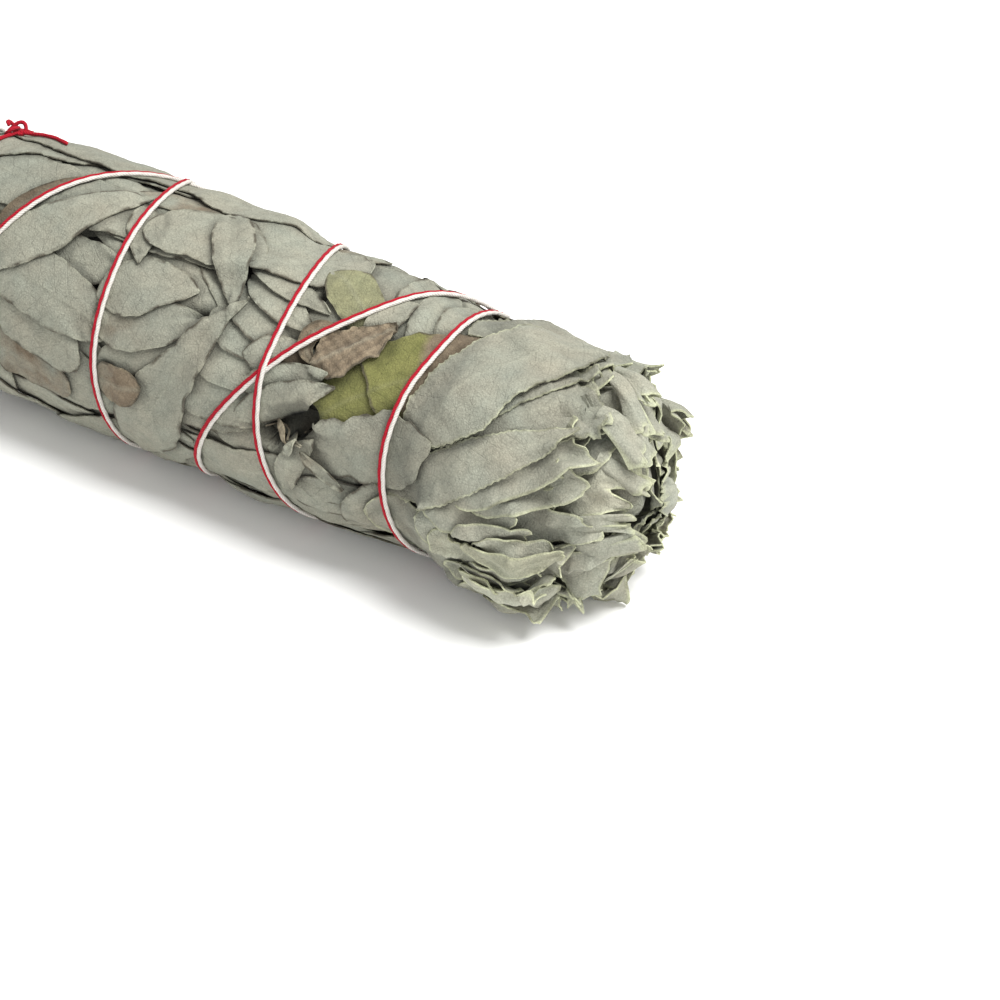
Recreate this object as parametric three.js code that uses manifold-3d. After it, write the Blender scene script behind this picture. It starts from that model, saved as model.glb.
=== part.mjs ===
// A bundle of dried white sage, lying on its side: leafy stems bound with a red and a white
// cotton thread wound together. Millimetres, +Z up, +X from the cut stems to the leaf tips.
import * as THREE from "three";
import { mergeVertices } from "three/addons/utils/BufferGeometryUtils.js";
import Module from "manifold-3d";

// Driving dimensions
const bundleLength = 180;
const bundleRadius = 21;
const axisHeight = 19.9; // the lowest leaves are pressed flat on the surface
const bladeThickness = 0.85;
const lowestThickness = 5; // of the leaves that the bundle lies on
const bladeRise = 1.2; // how far a leaf climbs from its root to its end, as shingles do
const pairStep = 0.9; // between the two leaves of a pair
const clearance = 0.3; // between any two separate pieces
const outerSprigCount = 8;
const innerSprigCount = 3;
const innerShare = 0.4; // radius of the inner sprigs as a share of the bundle's radius
const coverDepth = 3.6; // of the leaves that the outermost ones cover
const coreDepth = 6.4; // how far the solid middle of a sprig lies below the outer leaves
const stemRadius = 1.7;
const strandRadius = 0.45;
const strandSpacing = 1.25; // centre to centre of the two strands
const strandSides = 5;
const stepsPerTurn = 16;

// Stations along the bundle
const tipEnd = bundleLength / 2;
const stemEnd = -bundleLength / 2;
const leafBase = stemEnd + 9;
const coreTip = tipEnd - 25;
const stemTop = stemEnd + 52;

// Radius of the outer leaves at stations along the bundle, as shares of the bundle's radius
const outline = [
  [leafBase, 0.72],
  [stemEnd + 22, 0.76],
  [stemEnd + 34, 0.84],
  [stemEnd + 50, 0.93],
  [-18, 0.99],
  [12, 1.0],
  [38, 0.99],
  [51, 0.97],
  [64, 1.0],
  [tipEnd - 17, 0.95],
  [tipEnd - 10, 0.83],
  [tipEnd - 4, 0.64],
  [tipEnd, 0.4],
];

// Path of the threads: winding angle in degrees and place along the bundle. From the knot they
// circle the base, run to the tip in close turns and come back to the knot in steep ones.
const threadPath = [
  [75, -41],
  [180, -47],
  [270, -54],
  [360, -60],
  [450, -64],
  [810, -68.5],
  [900, -67.5],
  [990, -62],
  [1080, -54.5],
  [1170, -47.5],
  [1260, -41.5],
  [1350, -33],
  [1440, -19],
  [1530, -7.4],
  [1620, -4.2],
  [1710, -1],
  [1800, 12],
  [1890, 25],
  [1980, 28.5],
  [2070, 35],
  [2160, 46],
  [2250, 53.5],
  [2340, 51.5],
  [2430, 54.5],
  [2520, 51],
  [2610, 41],
  [2700, 18.6],
  [2745, 12.8],
  [2790, 10.5],
  [2880, 2],
  [2970, -20.5],
  [3060, -36],
  [3150, -44.5],
  [3240, -44.5],
  [3315, -42.5],
];
const threadHeight = 1.05; // centre line above the outer leaves
const crossingLift = 1.6; // where a turn passes over a later one
const crossingReach = 5;
const threadFloor = 1.1; // lowest height of the centre line, in grooves of the lowest leaves

// Seeded random numbers, so that every build is alike
function randomSource(seed) {
  let state = seed >>> 0;
  return (low, high) => {
    state = (state + 0x6d2b79f5) >>> 0;
    let t = Math.imul(state ^ (state >>> 15), state | 1);
    t ^= t + Math.imul(t ^ (t >>> 7), t | 61);
    return low + (high - low) * (((t ^ (t >>> 14)) >>> 0) / 4294967296);
  };
}

function radians(degrees) {
  return (degrees * Math.PI) / 180;
}

// Straight interpolation of column `column` in a table sorted by its first column
function interpolate(table, at, column = 1) {
  const last = table.length - 1;
  if (at <= table[0][0]) return table[0][column];
  if (at >= table[last][0]) return table[last][column];
  const next = table.findIndex((row) => row[0] > at);
  const [low, high] = [table[next - 1], table[next]];
  const share = (at - low[0]) / (high[0] - low[0]);
  return low[column] + share * (high[column] - low[column]);
}

function outerRadius(x) {
  return bundleRadius * interpolate(outline, x);
}

// A point from its place along the bundle, its angle about the axis and its radius
function around(x, angle, radius) {
  return new THREE.Vector3(x, radius * Math.cos(angle), axisHeight + radius * Math.sin(angle));
}

// Solids: three.js geometry in and out of the boolean library
const wasm = await Module();
wasm.setup();

function solidOf(geometry) {
  const bare = geometry.clone();
  bare.deleteAttribute("normal");
  bare.deleteAttribute("uv");
  const merged = mergeVertices(bare, 1e-4);
  return new wasm.Manifold(
    new wasm.Mesh({
      numProp: 3,
      vertProperties: new Float32Array(merged.attributes.position.array),
      triVerts: new Uint32Array(merged.index.array),
    }),
  );
}

function geometryOf(solid) {
  const mesh = solid.getMesh();
  const geometry = new THREE.BufferGeometry();
  geometry.setAttribute("position", new THREE.BufferAttribute(mesh.vertProperties, 3));
  geometry.setIndex(new THREE.BufferAttribute(mesh.triVerts, 1));
  geometry.computeVertexNormals();
  return geometry;
}

function joined(solids) {
  return solids.reduce((sum, solid) => sum.add(solid));
}

// The biggest body that is left after cutting, without its loose scraps
function mainBody(solid) {
  const bodies = solid.decompose();
  return bodies.reduce((best, body) => (body.volume() > best.volume() ? body : best));
}

// A closed solid between two grids of points with the same rows and columns
function slab(upper, lower) {
  const rows = upper.length;
  const columns = upper[0].length;
  const points = [...upper.flat(), ...lower.flat()];
  const at = (side, row, column) => side * rows * columns + row * columns + column;
  const faces = [];
  for (let i = 0; i < rows - 1; i++) {
    for (let j = 0; j < columns - 1; j++) {
      for (const side of [0, 1]) {
        const corners = [at(side, i, j), at(side, i + 1, j), at(side, i + 1, j + 1), at(side, i, j + 1)];
        const [a, b, c, d] = side ? corners.reverse() : corners;
        // the same diagonal on both sides
        if (side) faces.push(a, b, d, b, c, d);
        else faces.push(a, b, c, a, c, d);
      }
    }
  }
  const rim = [];
  for (let j = 0; j < columns - 1; j++) rim.push([0, j]);
  for (let i = 0; i < rows - 1; i++) rim.push([i, columns - 1]);
  for (let j = columns - 1; j > 0; j--) rim.push([rows - 1, j]);
  for (let i = rows - 1; i > 0; i--) rim.push([i, 0]);
  rim.forEach(([i, j], n) => {
    const [k, l] = rim[(n + 1) % rim.length];
    faces.push(at(0, i, j), at(0, k, l), at(1, k, l), at(0, i, j), at(1, k, l), at(1, i, j));
  });
  const geometry = new THREE.BufferGeometry().setFromPoints(points);
  geometry.setIndex(faces);
  const solid = solidOf(geometry);
  if (solid.volume() > 0) return solid;
  geometry.setIndex(faces.reverse());
  return solidOf(geometry);
}

// A leaf pressed on the bundle: root, heading across the bundle's axis, length and width.
// Its root is sunk in the sprig, its edges are waved and its end lies on the outer leaves.
const bladeShape = [
  [0, 0.35],
  [0.35, 1],
  [0.75, 0.82],
  [1, 0.2],
];

function blade(leaf, grow) {
  const upper = [];
  const lower = [];
  const thickness = leaf.thickness ?? bladeThickness;
  for (const [along, share] of bladeShape) {
    const reach = along * leaf.length;
    const rows = [[], []];
    for (const across of [-1, 0, 1]) {
      const side = across * (share * leaf.width * 0.5 + grow);
      const x = leaf.x + reach * Math.cos(leaf.heading) - side * Math.sin(leaf.heading);
      const surface = outerRadius(x);
      const turned = reach * Math.sin(leaf.heading) + side * Math.cos(leaf.heading);
      const angle = leaf.angle + turned / Math.max(surface, bundleRadius * 0.6);
      const sunk = (1 - THREE.MathUtils.smoothstep(along, 0, 0.3)) * (coreDepth - leaf.depth - bladeRise);
      const wave = across * leaf.wave * (along > 0.5 ? -1 : 1);
      const radius = surface - leaf.depth - bladeRise * (1 - along) - sunk + wave;
      rows[0].push(around(x, angle, radius + grow));
      rows[1].push(around(x, angle, radius - thickness - grow));
    }
    upper.push(rows[0]);
    lower.push(rows[1]);
  }
  return slab(upper, lower);
}

// A rolled leaf end in the tip: a strip whose section curls with a given turn, standing on a
// point of the bundle's section and leaning towards the axis at its end
function curl(leaf, grow) {
  const columns = 5;
  const upper = [];
  const lower = [];
  const width = leaf.width + 2 * grow;
  const stations = [
    [leaf.from, 1],
    [(leaf.from + leaf.to) / 2, 1],
    [leaf.to + grow, leaf.lean],
  ];
  for (const [x, gather] of stations) {
    const rows = [[], []];
    const spine = new THREE.Vector2(leaf.radius * gather, 0).rotateAround(new THREE.Vector2(), leaf.angle);
    const points = [];
    let place = new THREE.Vector2();
    for (let j = 0; j < columns; j++) {
      const heading = leaf.angle + Math.PI / 2 + leaf.skew + leaf.turn * (j / (columns - 1) - 0.5);
      points.push([place.clone(), heading]);
      const step = heading + leaf.turn / (2 * (columns - 1));
      const advance = new THREE.Vector2(Math.cos(step), Math.sin(step));
      place = place.clone().addScaledVector(advance, width / (columns - 1));
    }
    const middle = points[(columns - 1) / 2][0].clone();
    for (const [point, heading] of points) {
      const normal = new THREE.Vector2(Math.sin(heading), -Math.cos(heading));
      const centre = point.clone().sub(middle).add(spine);
      const half = bladeThickness / 2 + grow;
      const outer = centre.clone().addScaledVector(normal, half);
      const inner = centre.clone().addScaledVector(normal, -half);
      rows[0].push(new THREE.Vector3(x, outer.x, axisHeight + outer.y));
      rows[1].push(new THREE.Vector3(x, inner.x, axisHeight + inner.y));
    }
    upper.push(rows[0]);
    lower.push(rows[1]);
  }
  return slab(upper, lower);
}

// The solid middle of a sprig: its wedge of the bundle's section, lofted along the bundle
function wedge(middleAngle, halfAngle, innerOf, outerOf, grow) {
  const stations = [leafBase, -66, -46, -20, 16, 46, coreTip];
  const arcSteps = 3;
  const gap = 0.8 * clearance - grow;
  const upper = [];
  const lower = [];
  for (const x of stations) {
    const rows = [[], []];
    for (let j = 0; j <= arcSteps; j++) {
      const share = (2 * j) / arcSteps - 1;
      const [outer, inner] = [outerOf(x) + grow, Math.max(innerOf(x) - grow, 0.3)];
      rows[0].push(around(x, middleAngle + share * (halfAngle - gap / outer), outer));
      rows[1].push(around(x, middleAngle + share * Math.max(halfAngle - gap / inner, 0.15), inner));
    }
    upper.push(rows[0]);
    lower.push(rows[1]);
  }
  return slab(upper, lower);
}

// A round woody stem along the middle of a sprig's wedge, tapering towards the leaves
function stem(angle, share, cut, grow) {
  const sides = 9;
  const stations = [
    [cut - grow, stemRadius],
    [leafBase + 8, stemRadius * 0.95],
    [stemTop + grow, stemRadius * 0.75],
  ];
  const rings = stations.map(([x, thickness]) => {
    const centre = around(x, angle, share * outerRadius(x));
    const ring = [];
    for (let n = 0; n < sides; n++) {
      const turn = (2 * Math.PI * n) / sides;
      const offset = new THREE.Vector3(0, Math.cos(turn), Math.sin(turn));
      ring.push(centre.clone().addScaledVector(offset, thickness + grow));
    }
    return ring;
  });
  const points = [...rings.flat(), around(cut - grow, angle, share * outerRadius(cut))];
  points.push(around(stemTop + grow, angle, share * outerRadius(stemTop)));
  const [firstCentre, lastCentre] = [points.length - 2, points.length - 1];
  const faces = [];
  for (let n = 0; n < sides; n++) {
    const next = (n + 1) % sides;
    faces.push(firstCentre, next, n);
    for (let i = 0; i < rings.length - 1; i++) {
      const [a, b] = [i * sides + n, i * sides + next];
      faces.push(a, b, b + sides, a, b + sides, a + sides);
    }
    const last = (rings.length - 1) * sides;
    faces.push(lastCentre, last + n, last + next);
  }
  const geometry = new THREE.BufferGeometry().setFromPoints(points);
  geometry.setIndex(faces);
  const solid = solidOf(geometry);
  if (solid.volume() > 0) return solid;
  geometry.setIndex(faces.reverse());
  return solidOf(geometry);
}

// Threads

// Points of the winding path, each with the lift that carries it over a later turn
function windingPoints() {
  const [first, last] = [threadPath[0][0], threadPath[threadPath.length - 1][0]];
  const steps = Math.round(((last - first) / 360) * stepsPerTurn);
  const spline = new THREE.SplineCurve(threadPath.map(([angle, x]) => new THREE.Vector2(angle, x)));
  const eased = spline.getPoints(threadPath.length * 12).map((point) => [point.x, point.y]);
  const points = [];
  for (let n = 0; n <= steps; n++) {
    const winding = first + ((last - first) * n) / steps;
    points.push({ winding, x: interpolate(eased, winding), lift: 0 });
  }
  points.forEach((point, n) => {
    for (const later of points.slice(n + stepsPerTurn / 2)) {
      const turn = radians(later.winding - point.winding);
      const across = bundleRadius * Math.atan2(Math.sin(turn), Math.cos(turn));
      const apart = Math.hypot(across, later.x - point.x);
      const share = 1 - THREE.MathUtils.smoothstep(apart, crossingReach, crossingReach * 2);
      point.lift = Math.max(point.lift, crossingLift * share);
    }
  });
  return points;
}

// One strand as a tube beside the winding path, its ends left short by some steps
function strand(shift, grow, short = 0) {
  const line = windingPoints();
  const points = line.map(({ winding, x, lift }, n) => {
    const [before, after] = [line[Math.max(n - 1, 0)], line[Math.min(n + 1, line.length - 1)]];
    const radius = outerRadius(x) + threadHeight + lift;
    const course = new THREE.Vector2(after.x - before.x, radius * radians(after.winding - before.winding));
    course.setLength(shift);
    const point = around(x + course.y, radians(winding) - course.x / radius, radius);
    point.z = Math.max(point.z, threadFloor + lift);
    return point;
  });
  const path = new THREE.CatmullRomCurve3(points.slice(short, points.length - short));
  return tube(path, path.points.length - 1, strandRadius + grow);
}

function tube(path, steps, radius) {
  const section = new THREE.Shape();
  for (let n = 0; n < strandSides; n++) {
    const turn = (2 * Math.PI * n) / strandSides;
    section[n ? "lineTo" : "moveTo"](radius * Math.cos(turn), radius * Math.sin(turn));
  }
  section.closePath();
  return solidOf(new THREE.ExtrudeGeometry(section, { steps, extrudePath: path, bevelEnabled: false }));
}

// The knot that closes the winding: an overhand loop pulled tight round the strand's two ends,
// with a short tail that lies along the top
function knot(shift, grow) {
  const size = 0.8;
  const steps = 22;
  const tailReach = [0, 3.5, 7, 10];
  const angle = radians(threadPath[0][0]);
  const x = (threadPath[0][1] + threadPath[threadPath.length - 1][1]) / 2 + shift;
  const centre = around(x, angle, outerRadius(x) + threadHeight + 0.6);
  const loop = [];
  for (let n = 0; n <= steps; n++) {
    const t = 0.2 + ((2 * Math.PI - 0.4) * n) / steps;
    const point = new THREE.Vector3(
      Math.sin(t) + 2 * Math.sin(2 * t),
      Math.cos(t) - 2 * Math.cos(2 * t),
      -Math.sin(3 * t),
    );
    point.multiplyScalar(size).applyAxisAngle(new THREE.Vector3(1, 0, 0), angle - Math.PI / 2);
    loop.push(point.add(centre));
  }
  const tail = tailReach.map((reach, n) => {
    return around(x + reach, angle + 0.03 * n, outerRadius(x + reach) + threadHeight);
  });
  const heart = new THREE.IcosahedronGeometry(1.6 + grow).translate(centre.x, centre.y, centre.z);
  return joined([
    solidOf(heart),
    tube(new THREE.CatmullRomCurve3(loop), steps, strandRadius + grow),
    tube(new THREE.CatmullRomCurve3(tail), 5, strandRadius + grow),
  ]);
}

// Sprigs

const sector = (2 * Math.PI) / outerSprigCount;

// The leaves of one outer sprig: opposite pairs up its stem, and rolled ends in the tip.
// Every second sprig is an upper one, whose leaves spread over the sprigs beside it.
function outerSprig(index) {
  const random = randomSource(11 + index * 7);
  const angle = radians(270) + index * sector;
  const upper = index % 2 === 0;
  const rows = upper ? 5 : 4;
  const lowest = index === 0;
  const sides = upper && !lowest ? [-1, 1] : [0];
  const spacing = (coreTip - 14 - leafBase) / (rows - 1);
  const leaves = [];
  for (let n = 0; n < rows; n++) {
    for (const side of sides) {
      const wave = random(0.1, 0.2) * (side || 1);
      const x = leafBase + 2 + n * spacing + random(-3, 3) * (n && n < rows - 1);
      leaves.push({
        x,
        angle: angle + side * sector * random(0.24, 0.3),
        heading: radians(side * random(0, 6)),
        length: n === rows - 1 ? tipEnd - 7 - x + random(-3, 1) : random(40, 48),
        width: lowest ? random(18, 21) : random(12, 14.5),
        depth: Math.abs(wave) + (side > 0 ? pairStep : 0) + (upper ? 0 : coverDepth),
        thickness: lowest ? lowestThickness : bladeThickness,
        wave,
      });
    }
  }
  const curls = [];
  for (const share of upper ? [-0.25, 0.3] : [0]) {
    const radius = upper ? 12.8 : 11.2;
    curls.push({
      radius,
      angle: angle + share * sector,
      width: random(7, 9),
      turn: random(1.5, 3.4) * (random(0, 1) < 0.3 ? -1 : 1),
      skew: random(-0.4, 0.4),
      lean: random(0.82, 0.95),
      from: coreTip - 6,
      to: tipEnd - 1 - 0.028 * radius * radius + random(-2.5, 2),
    });
  }
  return { angle, leaves, curls };
}

// The leaves of one inner sprig show only as rolled ends in the tip
function innerSprig(index) {
  const random = randomSource(301 + index * 13);
  const angle = radians(30) + (index * 2 * Math.PI) / innerSprigCount;
  const curls = [];
  for (const [radius, share] of [
    [2.6, 0],
    [5.6, -0.28],
    [5.6, 0.28],
    [7.4, 0],
  ]) {
    curls.push({
      radius,
      angle: angle + share * ((2 * Math.PI) / innerSprigCount),
      width: random(5, 7.5),
      turn: random(1.8, 4.2) * (random(0, 1) < 0.4 ? -1 : 1),
      skew: random(-0.6, 0.6),
      lean: random(0.85, 1.0),
      from: coreTip - 8,
      to: tipEnd - 0.028 * radius * radius + random(-3, 0),
    });
  }
  return { angle, leaves: [], curls };
}

const innerRadius = (x) => innerShare * outerRadius(x);
const coreRadius = (x) => outerRadius(x) - coreDepth;

function outerSolid(sprig, grow) {
  const core = wedge(sprig.angle, sector / 2, innerRadius, coreRadius, grow);
  const leaves = sprig.leaves.map((leaf) => blade(leaf, grow));
  const curls = sprig.curls.map((leaf) => curl(leaf, grow));
  return joined([core, ...leaves, ...curls]);
}

function innerSolid(sprig, grow) {
  const half = Math.PI / innerSprigCount;
  const core = wedge(sprig.angle, half, () => 0.4, (x) => innerRadius(x) - 1.6 * clearance, grow);
  return joined([core, ...sprig.curls.map((leaf) => curl(leaf, grow))]);
}

// Loose leaves of another colour, laid on the bundle under the thread
const looseLeaves = {
  olive_leaf: looseLeaf([24, 168], 8, [34, 15], 0.3, 0.3),
  brown_leaf: looseLeaf([19, 141], 20, [19, 9], 0.1, -0.4),
  tan_leaf: looseLeaf([-22, 212], -14, [24, 12], 0.1, 0.3),
};

function looseLeaf([x, angle], heading, [length, width], depth, wave) {
  return { x, angle: radians(angle), heading: radians(heading), length, width, depth, wave };
}

// Colours and finishes
const finishes = {
  sage: { color: 0xb6baa6, roughness: 0.92 },
  olive: { color: 0x8f8f55, roughness: 0.85 },
  brown: { color: 0x8d7a66, roughness: 0.9 },
  tan: { color: 0xa3947f, roughness: 0.9 },
  wood: { color: 0x9a8468, roughness: 0.85 },
  red: { color: 0xb01e2c, roughness: 0.8 },
  white: { color: 0xf0ede4, roughness: 0.85 },
};

function finish(name) {
  return new THREE.MeshStandardMaterial({ ...finishes[name], metalness: 0 });
}

// Assembly: each piece is cut clear of the pieces named before it

const bundle = new THREE.Group();
const taken = [];

function place(name, finishName, solid) {
  const mesh = new THREE.Mesh(geometryOf(solid), finish(finishName));
  mesh.name = name;
  bundle.add(mesh);
}

function clear(solid) {
  return taken.reduce((left, other) => left.subtract(other), solid);
}

const redShift = -strandSpacing / 2;
const whiteShift = strandSpacing / 2;
const whiteShort = 2; // steps by which the white strand ends before the knot
place("red_thread", "red", strand(redShift, 0).add(knot(redShift, 0)));
place("white_thread", "white", strand(whiteShift, 0, whiteShort));
taken.push(strand(redShift, clearance).add(knot(redShift, clearance)));
taken.push(strand(whiteShift, clearance, whiteShort));

const surface = solidOf(new THREE.BoxGeometry(400, 400, 100).translate(0, 0, -50));
taken.push(surface);

const outerSprigs = Array.from({ length: outerSprigCount }, (_, index) => outerSprig(index));
const innerSprigs = Array.from({ length: innerSprigCount }, (_, index) => innerSprig(index));

const stemPlan = [
  ...outerSprigs.map((sprig, n) => [`outer_sprig_${n + 1}_stem`, sprig.angle, 0.58]),
  ...innerSprigs.map((sprig, n) => [`inner_sprig_${n + 1}_stem`, sprig.angle, 0.21]),
];
const stemRandom = randomSource(77);
for (const [name, angle, share] of stemPlan) {
  const cut = stemEnd + (name === "outer_sprig_1_stem" ? 0 : stemRandom(0, 5));
  place(name, "wood", stem(angle, share, cut, 0));
  taken.push(stem(angle, share, cut, clearance));
}

for (const [name, leaf] of Object.entries(looseLeaves)) {
  place(name, name.split("_")[0], mainBody(clear(blade(leaf, 0))));
  taken.push(blade(leaf, clearance));
}

innerSprigs.forEach((sprig, n) => {
  place(`inner_sprig_${n + 1}_leaves`, "sage", mainBody(clear(innerSolid(sprig, 0))));
  taken.push(innerSolid(sprig, clearance));
});

const [upperOnes, lowerOnes] = [0, 1].map((parity) => outerSprigs.filter((_, n) => n % 2 === parity));
for (const sprig of [...upperOnes, ...lowerOnes]) {
  const number = outerSprigs.indexOf(sprig) + 1;
  place(`outer_sprig_${number}_leaves`, "sage", mainBody(clear(outerSolid(sprig, 0))));
  taken.push(outerSolid(sprig, clearance));
}

// The part's origin is below the middle of its box, on the surface it lies on
const box = new THREE.Box3().setFromObject(bundle);
const middle = box.getCenter(new THREE.Vector3());
bundle.children.forEach((mesh) => mesh.position.set(-middle.x, -middle.y, 0));

export default bundle;
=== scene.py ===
# Sage bunch: dried white sage leaves wrapped round woody stems, tied with a red and a white thread
import math
import bpy
import numpy as np
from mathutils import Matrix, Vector


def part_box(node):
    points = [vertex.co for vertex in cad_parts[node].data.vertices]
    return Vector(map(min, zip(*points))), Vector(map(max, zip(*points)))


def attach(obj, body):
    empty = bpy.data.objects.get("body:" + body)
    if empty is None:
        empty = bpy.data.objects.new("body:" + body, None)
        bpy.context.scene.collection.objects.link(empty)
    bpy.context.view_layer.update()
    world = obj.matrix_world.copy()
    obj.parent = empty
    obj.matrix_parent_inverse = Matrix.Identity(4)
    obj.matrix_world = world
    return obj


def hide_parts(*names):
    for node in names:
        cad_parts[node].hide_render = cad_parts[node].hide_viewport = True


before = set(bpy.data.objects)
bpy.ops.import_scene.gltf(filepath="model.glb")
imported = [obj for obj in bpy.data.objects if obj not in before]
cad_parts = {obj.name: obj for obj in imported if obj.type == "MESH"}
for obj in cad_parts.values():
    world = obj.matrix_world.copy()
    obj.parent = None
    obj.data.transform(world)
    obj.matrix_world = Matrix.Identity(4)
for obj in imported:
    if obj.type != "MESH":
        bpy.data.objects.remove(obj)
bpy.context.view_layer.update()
mm = 0.001  # shapes are worked out in millimetres and put into the meshes in metres

bundle = {
    "radius": 21.0,
    "axisHeight": 19.9,
    # place along the bundle, radius of the outer leaves as a share of the bundle's radius
    "outline": [(-81, 0.72), (-68, 0.78), (-56, 0.87), (-40, 0.98), (-18, 1.02), (12, 1.01), (38, 0.99),
                (51, 0.97), (64, 0.98), (73, 0.9), (80, 0.76), (86, 0.6), (90, 0.4)],
    "floorSoftness": 0.5,
    "floorGap": 0.13,     # half a leaf's thickness, and a little air
}
# the two rings of sprigs: how many, the first one's angle, and the stems' share of the outer radius
sprigs = {
    "outer": {"count": 8, "first": 270, "stemShare": 0.58},
    "inner": {"count": 3, "first": 30, "stemShare": 0.21},
}
fullTurn = 6.28           # radians, in waves that start at random
print("frame loaded:", len(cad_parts), "nodes")


# Shapes

def outerRadius(x):
    stations, shares = np.array(bundle["outline"]).T
    fine = np.linspace(-100, 100, 401)
    window = np.exp(-np.linspace(-2, 2, 17) ** 2)
    padded = np.pad(np.interp(fine, stations, shares), 8, mode="edge")
    eased = np.convolve(padded, window / window.sum(), mode="valid")
    return bundle["radius"] * np.interp(x, fine, eased)


def around(x, angle, radius):  # angle 90 degrees is the top, 180 the front, 270 the underside
    height = bundle["axisHeight"] + radius * np.sin(angle)
    return np.stack([x + 0 * angle, radius * np.cos(angle), height], axis=-1)


def smoothStep(low, high, value):
    share = np.clip((value - low) / (high - low), 0, 1)
    return share * share * (3 - 2 * share)


def softened(values):  # each point takes a quarter of both neighbours, along rows and then columns
    for axis in (0, 1):
        edge = [(1, 1) if n == axis else (0, 0) for n in (0, 1)]
        wide = np.pad(values, edge, mode="edge")
        before, middle, after = [np.take(wide, range(n, n + values.shape[axis]), axis) for n in range(3)]
        values = 0.25 * before + 0.5 * middle + 0.25 * after
    return values


def refined(values, times=3):  # straight interpolation to a finer grid, in both directions
    for turn in range(2):
        place = np.linspace(0, len(values) - 1, (len(values) - 1) * times + 1)
        low = np.minimum(place.astype(int), len(values) - 2)
        share = (place - low)[:, None]
        values = (values[low] * (1 - share) + values[low + 1] * share).T
    return values


def ragged(rng, place, pitches, amounts):  # a sum of sines with random phases
    total = 0 * place
    for pitch, amount in zip(pitches, amounts):
        total = total + amount * np.sin(2 * np.pi * (place / (pitch * rng.uniform(0.8, 1.25)) + rng.random()))
    return total


wrapGrid = {"from": -96.0, "to": 96.0, "rows": 385, "columns": 540}


class Wrap:
    # the radius that the leaves laid so far reach, over place along the bundle and angle about it

    def __init__(self, radius):
        self.radius = radius

    def cells(self, x, angle):
        reach = wrapGrid["to"] - wrapGrid["from"]
        row = np.clip((x - wrapGrid["from"]) / reach, 0, 0.9999) * (wrapGrid["rows"] - 1)
        return row, (angle / (2 * np.pi) % 1.0) * wrapGrid["columns"]

    def at(self, x, angle):
        row, column = self.cells(x, angle)
        low, left = row.astype(int), column.astype(int) % wrapGrid["columns"]
        up, across = row - low, column - column.astype(int)
        right = (left + 1) % wrapGrid["columns"]
        near = self.radius[low, left] * (1 - up) + self.radius[low + 1, left] * up
        far = self.radius[low, right] * (1 - up) + self.radius[low + 1, right] * up
        return near * (1 - across) + far * across

    def lay(self, x, angle, radius):
        row, column = self.cells(refined(x), refined(angle))
        laid = np.full(self.radius.shape, -1000.0)
        target = (np.rint(row).astype(int), np.rint(column).astype(int) % wrapGrid["columns"])
        np.maximum.at(laid, target, refined(radius))
        for axis in (0, 1):
            laid = np.maximum(laid, np.maximum(np.roll(laid, 1, axis), np.roll(laid, -1, axis)))
        self.radius = np.maximum(self.radius, laid)


# Leaves

leafForm = {
    "thickness": 0.2,
    "gap": 0.05,          # least air between two leaves
    "stiffness": 40,      # rounds of smoothing over what lies below
    "lift": 0.12,         # how far the margins curl up
    "wave": 0.08,         # height of the waves along the margins
    "ruffle": 0.0,        # height of the waves across the end
    "rufflePitch": 6.0,
    "crease": 0.12,       # depth of the midrib's groove
    "pleat": 0.07,        # height of the long folds beside the midrib
    "pleatPitch": 5.0,
    "scallop": 0.06,      # teeth of the margin and their pitch
    "scallopPitch": 1.3,
    "step": 0.5,          # mesh size along the leaf
    "columns": 15,
}
# half width over the way from root to end, as a share of its largest
outlines = {
    "lance": lambda s: np.sin(np.pi * s ** 0.8) ** 0.75,
    "blunt": lambda s: np.minimum(s / 0.3, 1) ** 0.6 * np.sqrt(1 - s ** 5),
    "torn": lambda s: np.minimum(s / 0.2, 1) ** 0.5 * (1 - 0.35 * s ** 10),
    "spear": lambda s: np.minimum(s / 0.3, 1) ** 0.6 * np.minimum((1 - s) / 0.7, 1) ** 0.85,
}
# what the leaves' material reads at each point, among them the painted shade below other leaves and along the
# margins, and the painted highlight of the rims
leafLooks = ("leafTone", "leafBrown", "leafOlive", "leafRimHighlight", "leafPaintedShade", "leafSeamShade")


class Pile:
    # the grids that make up one piece, gathered before they become a mesh

    def __init__(self):
        self.points, self.quads, self.maps = [], [], []
        self.looks = {name: [] for name in leafLooks}
        self.count = 0

    def add(self, points, quads, maps, looks):
        self.points.append(points)
        self.quads.append(quads + self.count)
        self.maps.append(maps)
        for name, values in looks.items():
            self.looks[name].append(np.broadcast_to(values, len(points)))
        self.count += len(points)

    def joined(self):
        return [np.concatenate(parts) for parts in (self.points, self.quads, self.maps)]


def shell(points, thickness):
    # a sheet with thickness: its grid moved both ways along the normal, and a rim round its border
    across = np.gradient(points, axis=1)
    along = np.gradient(points, axis=0)
    normal = np.cross(across, along)
    normal /= np.maximum(np.linalg.norm(normal, axis=-1, keepdims=True), 1e-9)
    rows, columns = points.shape[:2]
    top = np.arange(rows * columns).reshape(rows, columns)
    under = top + rows * columns
    corners = [top[:-1, :-1], top[:-1, 1:], top[1:, 1:], top[1:, :-1]]
    upper = np.stack(corners, axis=-1).reshape(-1, 4)
    lower = upper[:, ::-1] + rows * columns
    border = np.concatenate([top[0, :-1], top[:-1, -1], top[-1, :0:-1], top[:0:-1, 0]])
    following = np.roll(border, -1)
    beneath = under.ravel()
    rim = np.stack([following, border, beneath[border], beneath[following]], axis=-1)
    both = np.concatenate([(points + normal * thickness / 2).reshape(-1, 3),
                           (points - normal * thickness / 2).reshape(-1, 3)])
    return both, np.concatenate([upper, lower, rim])


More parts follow.
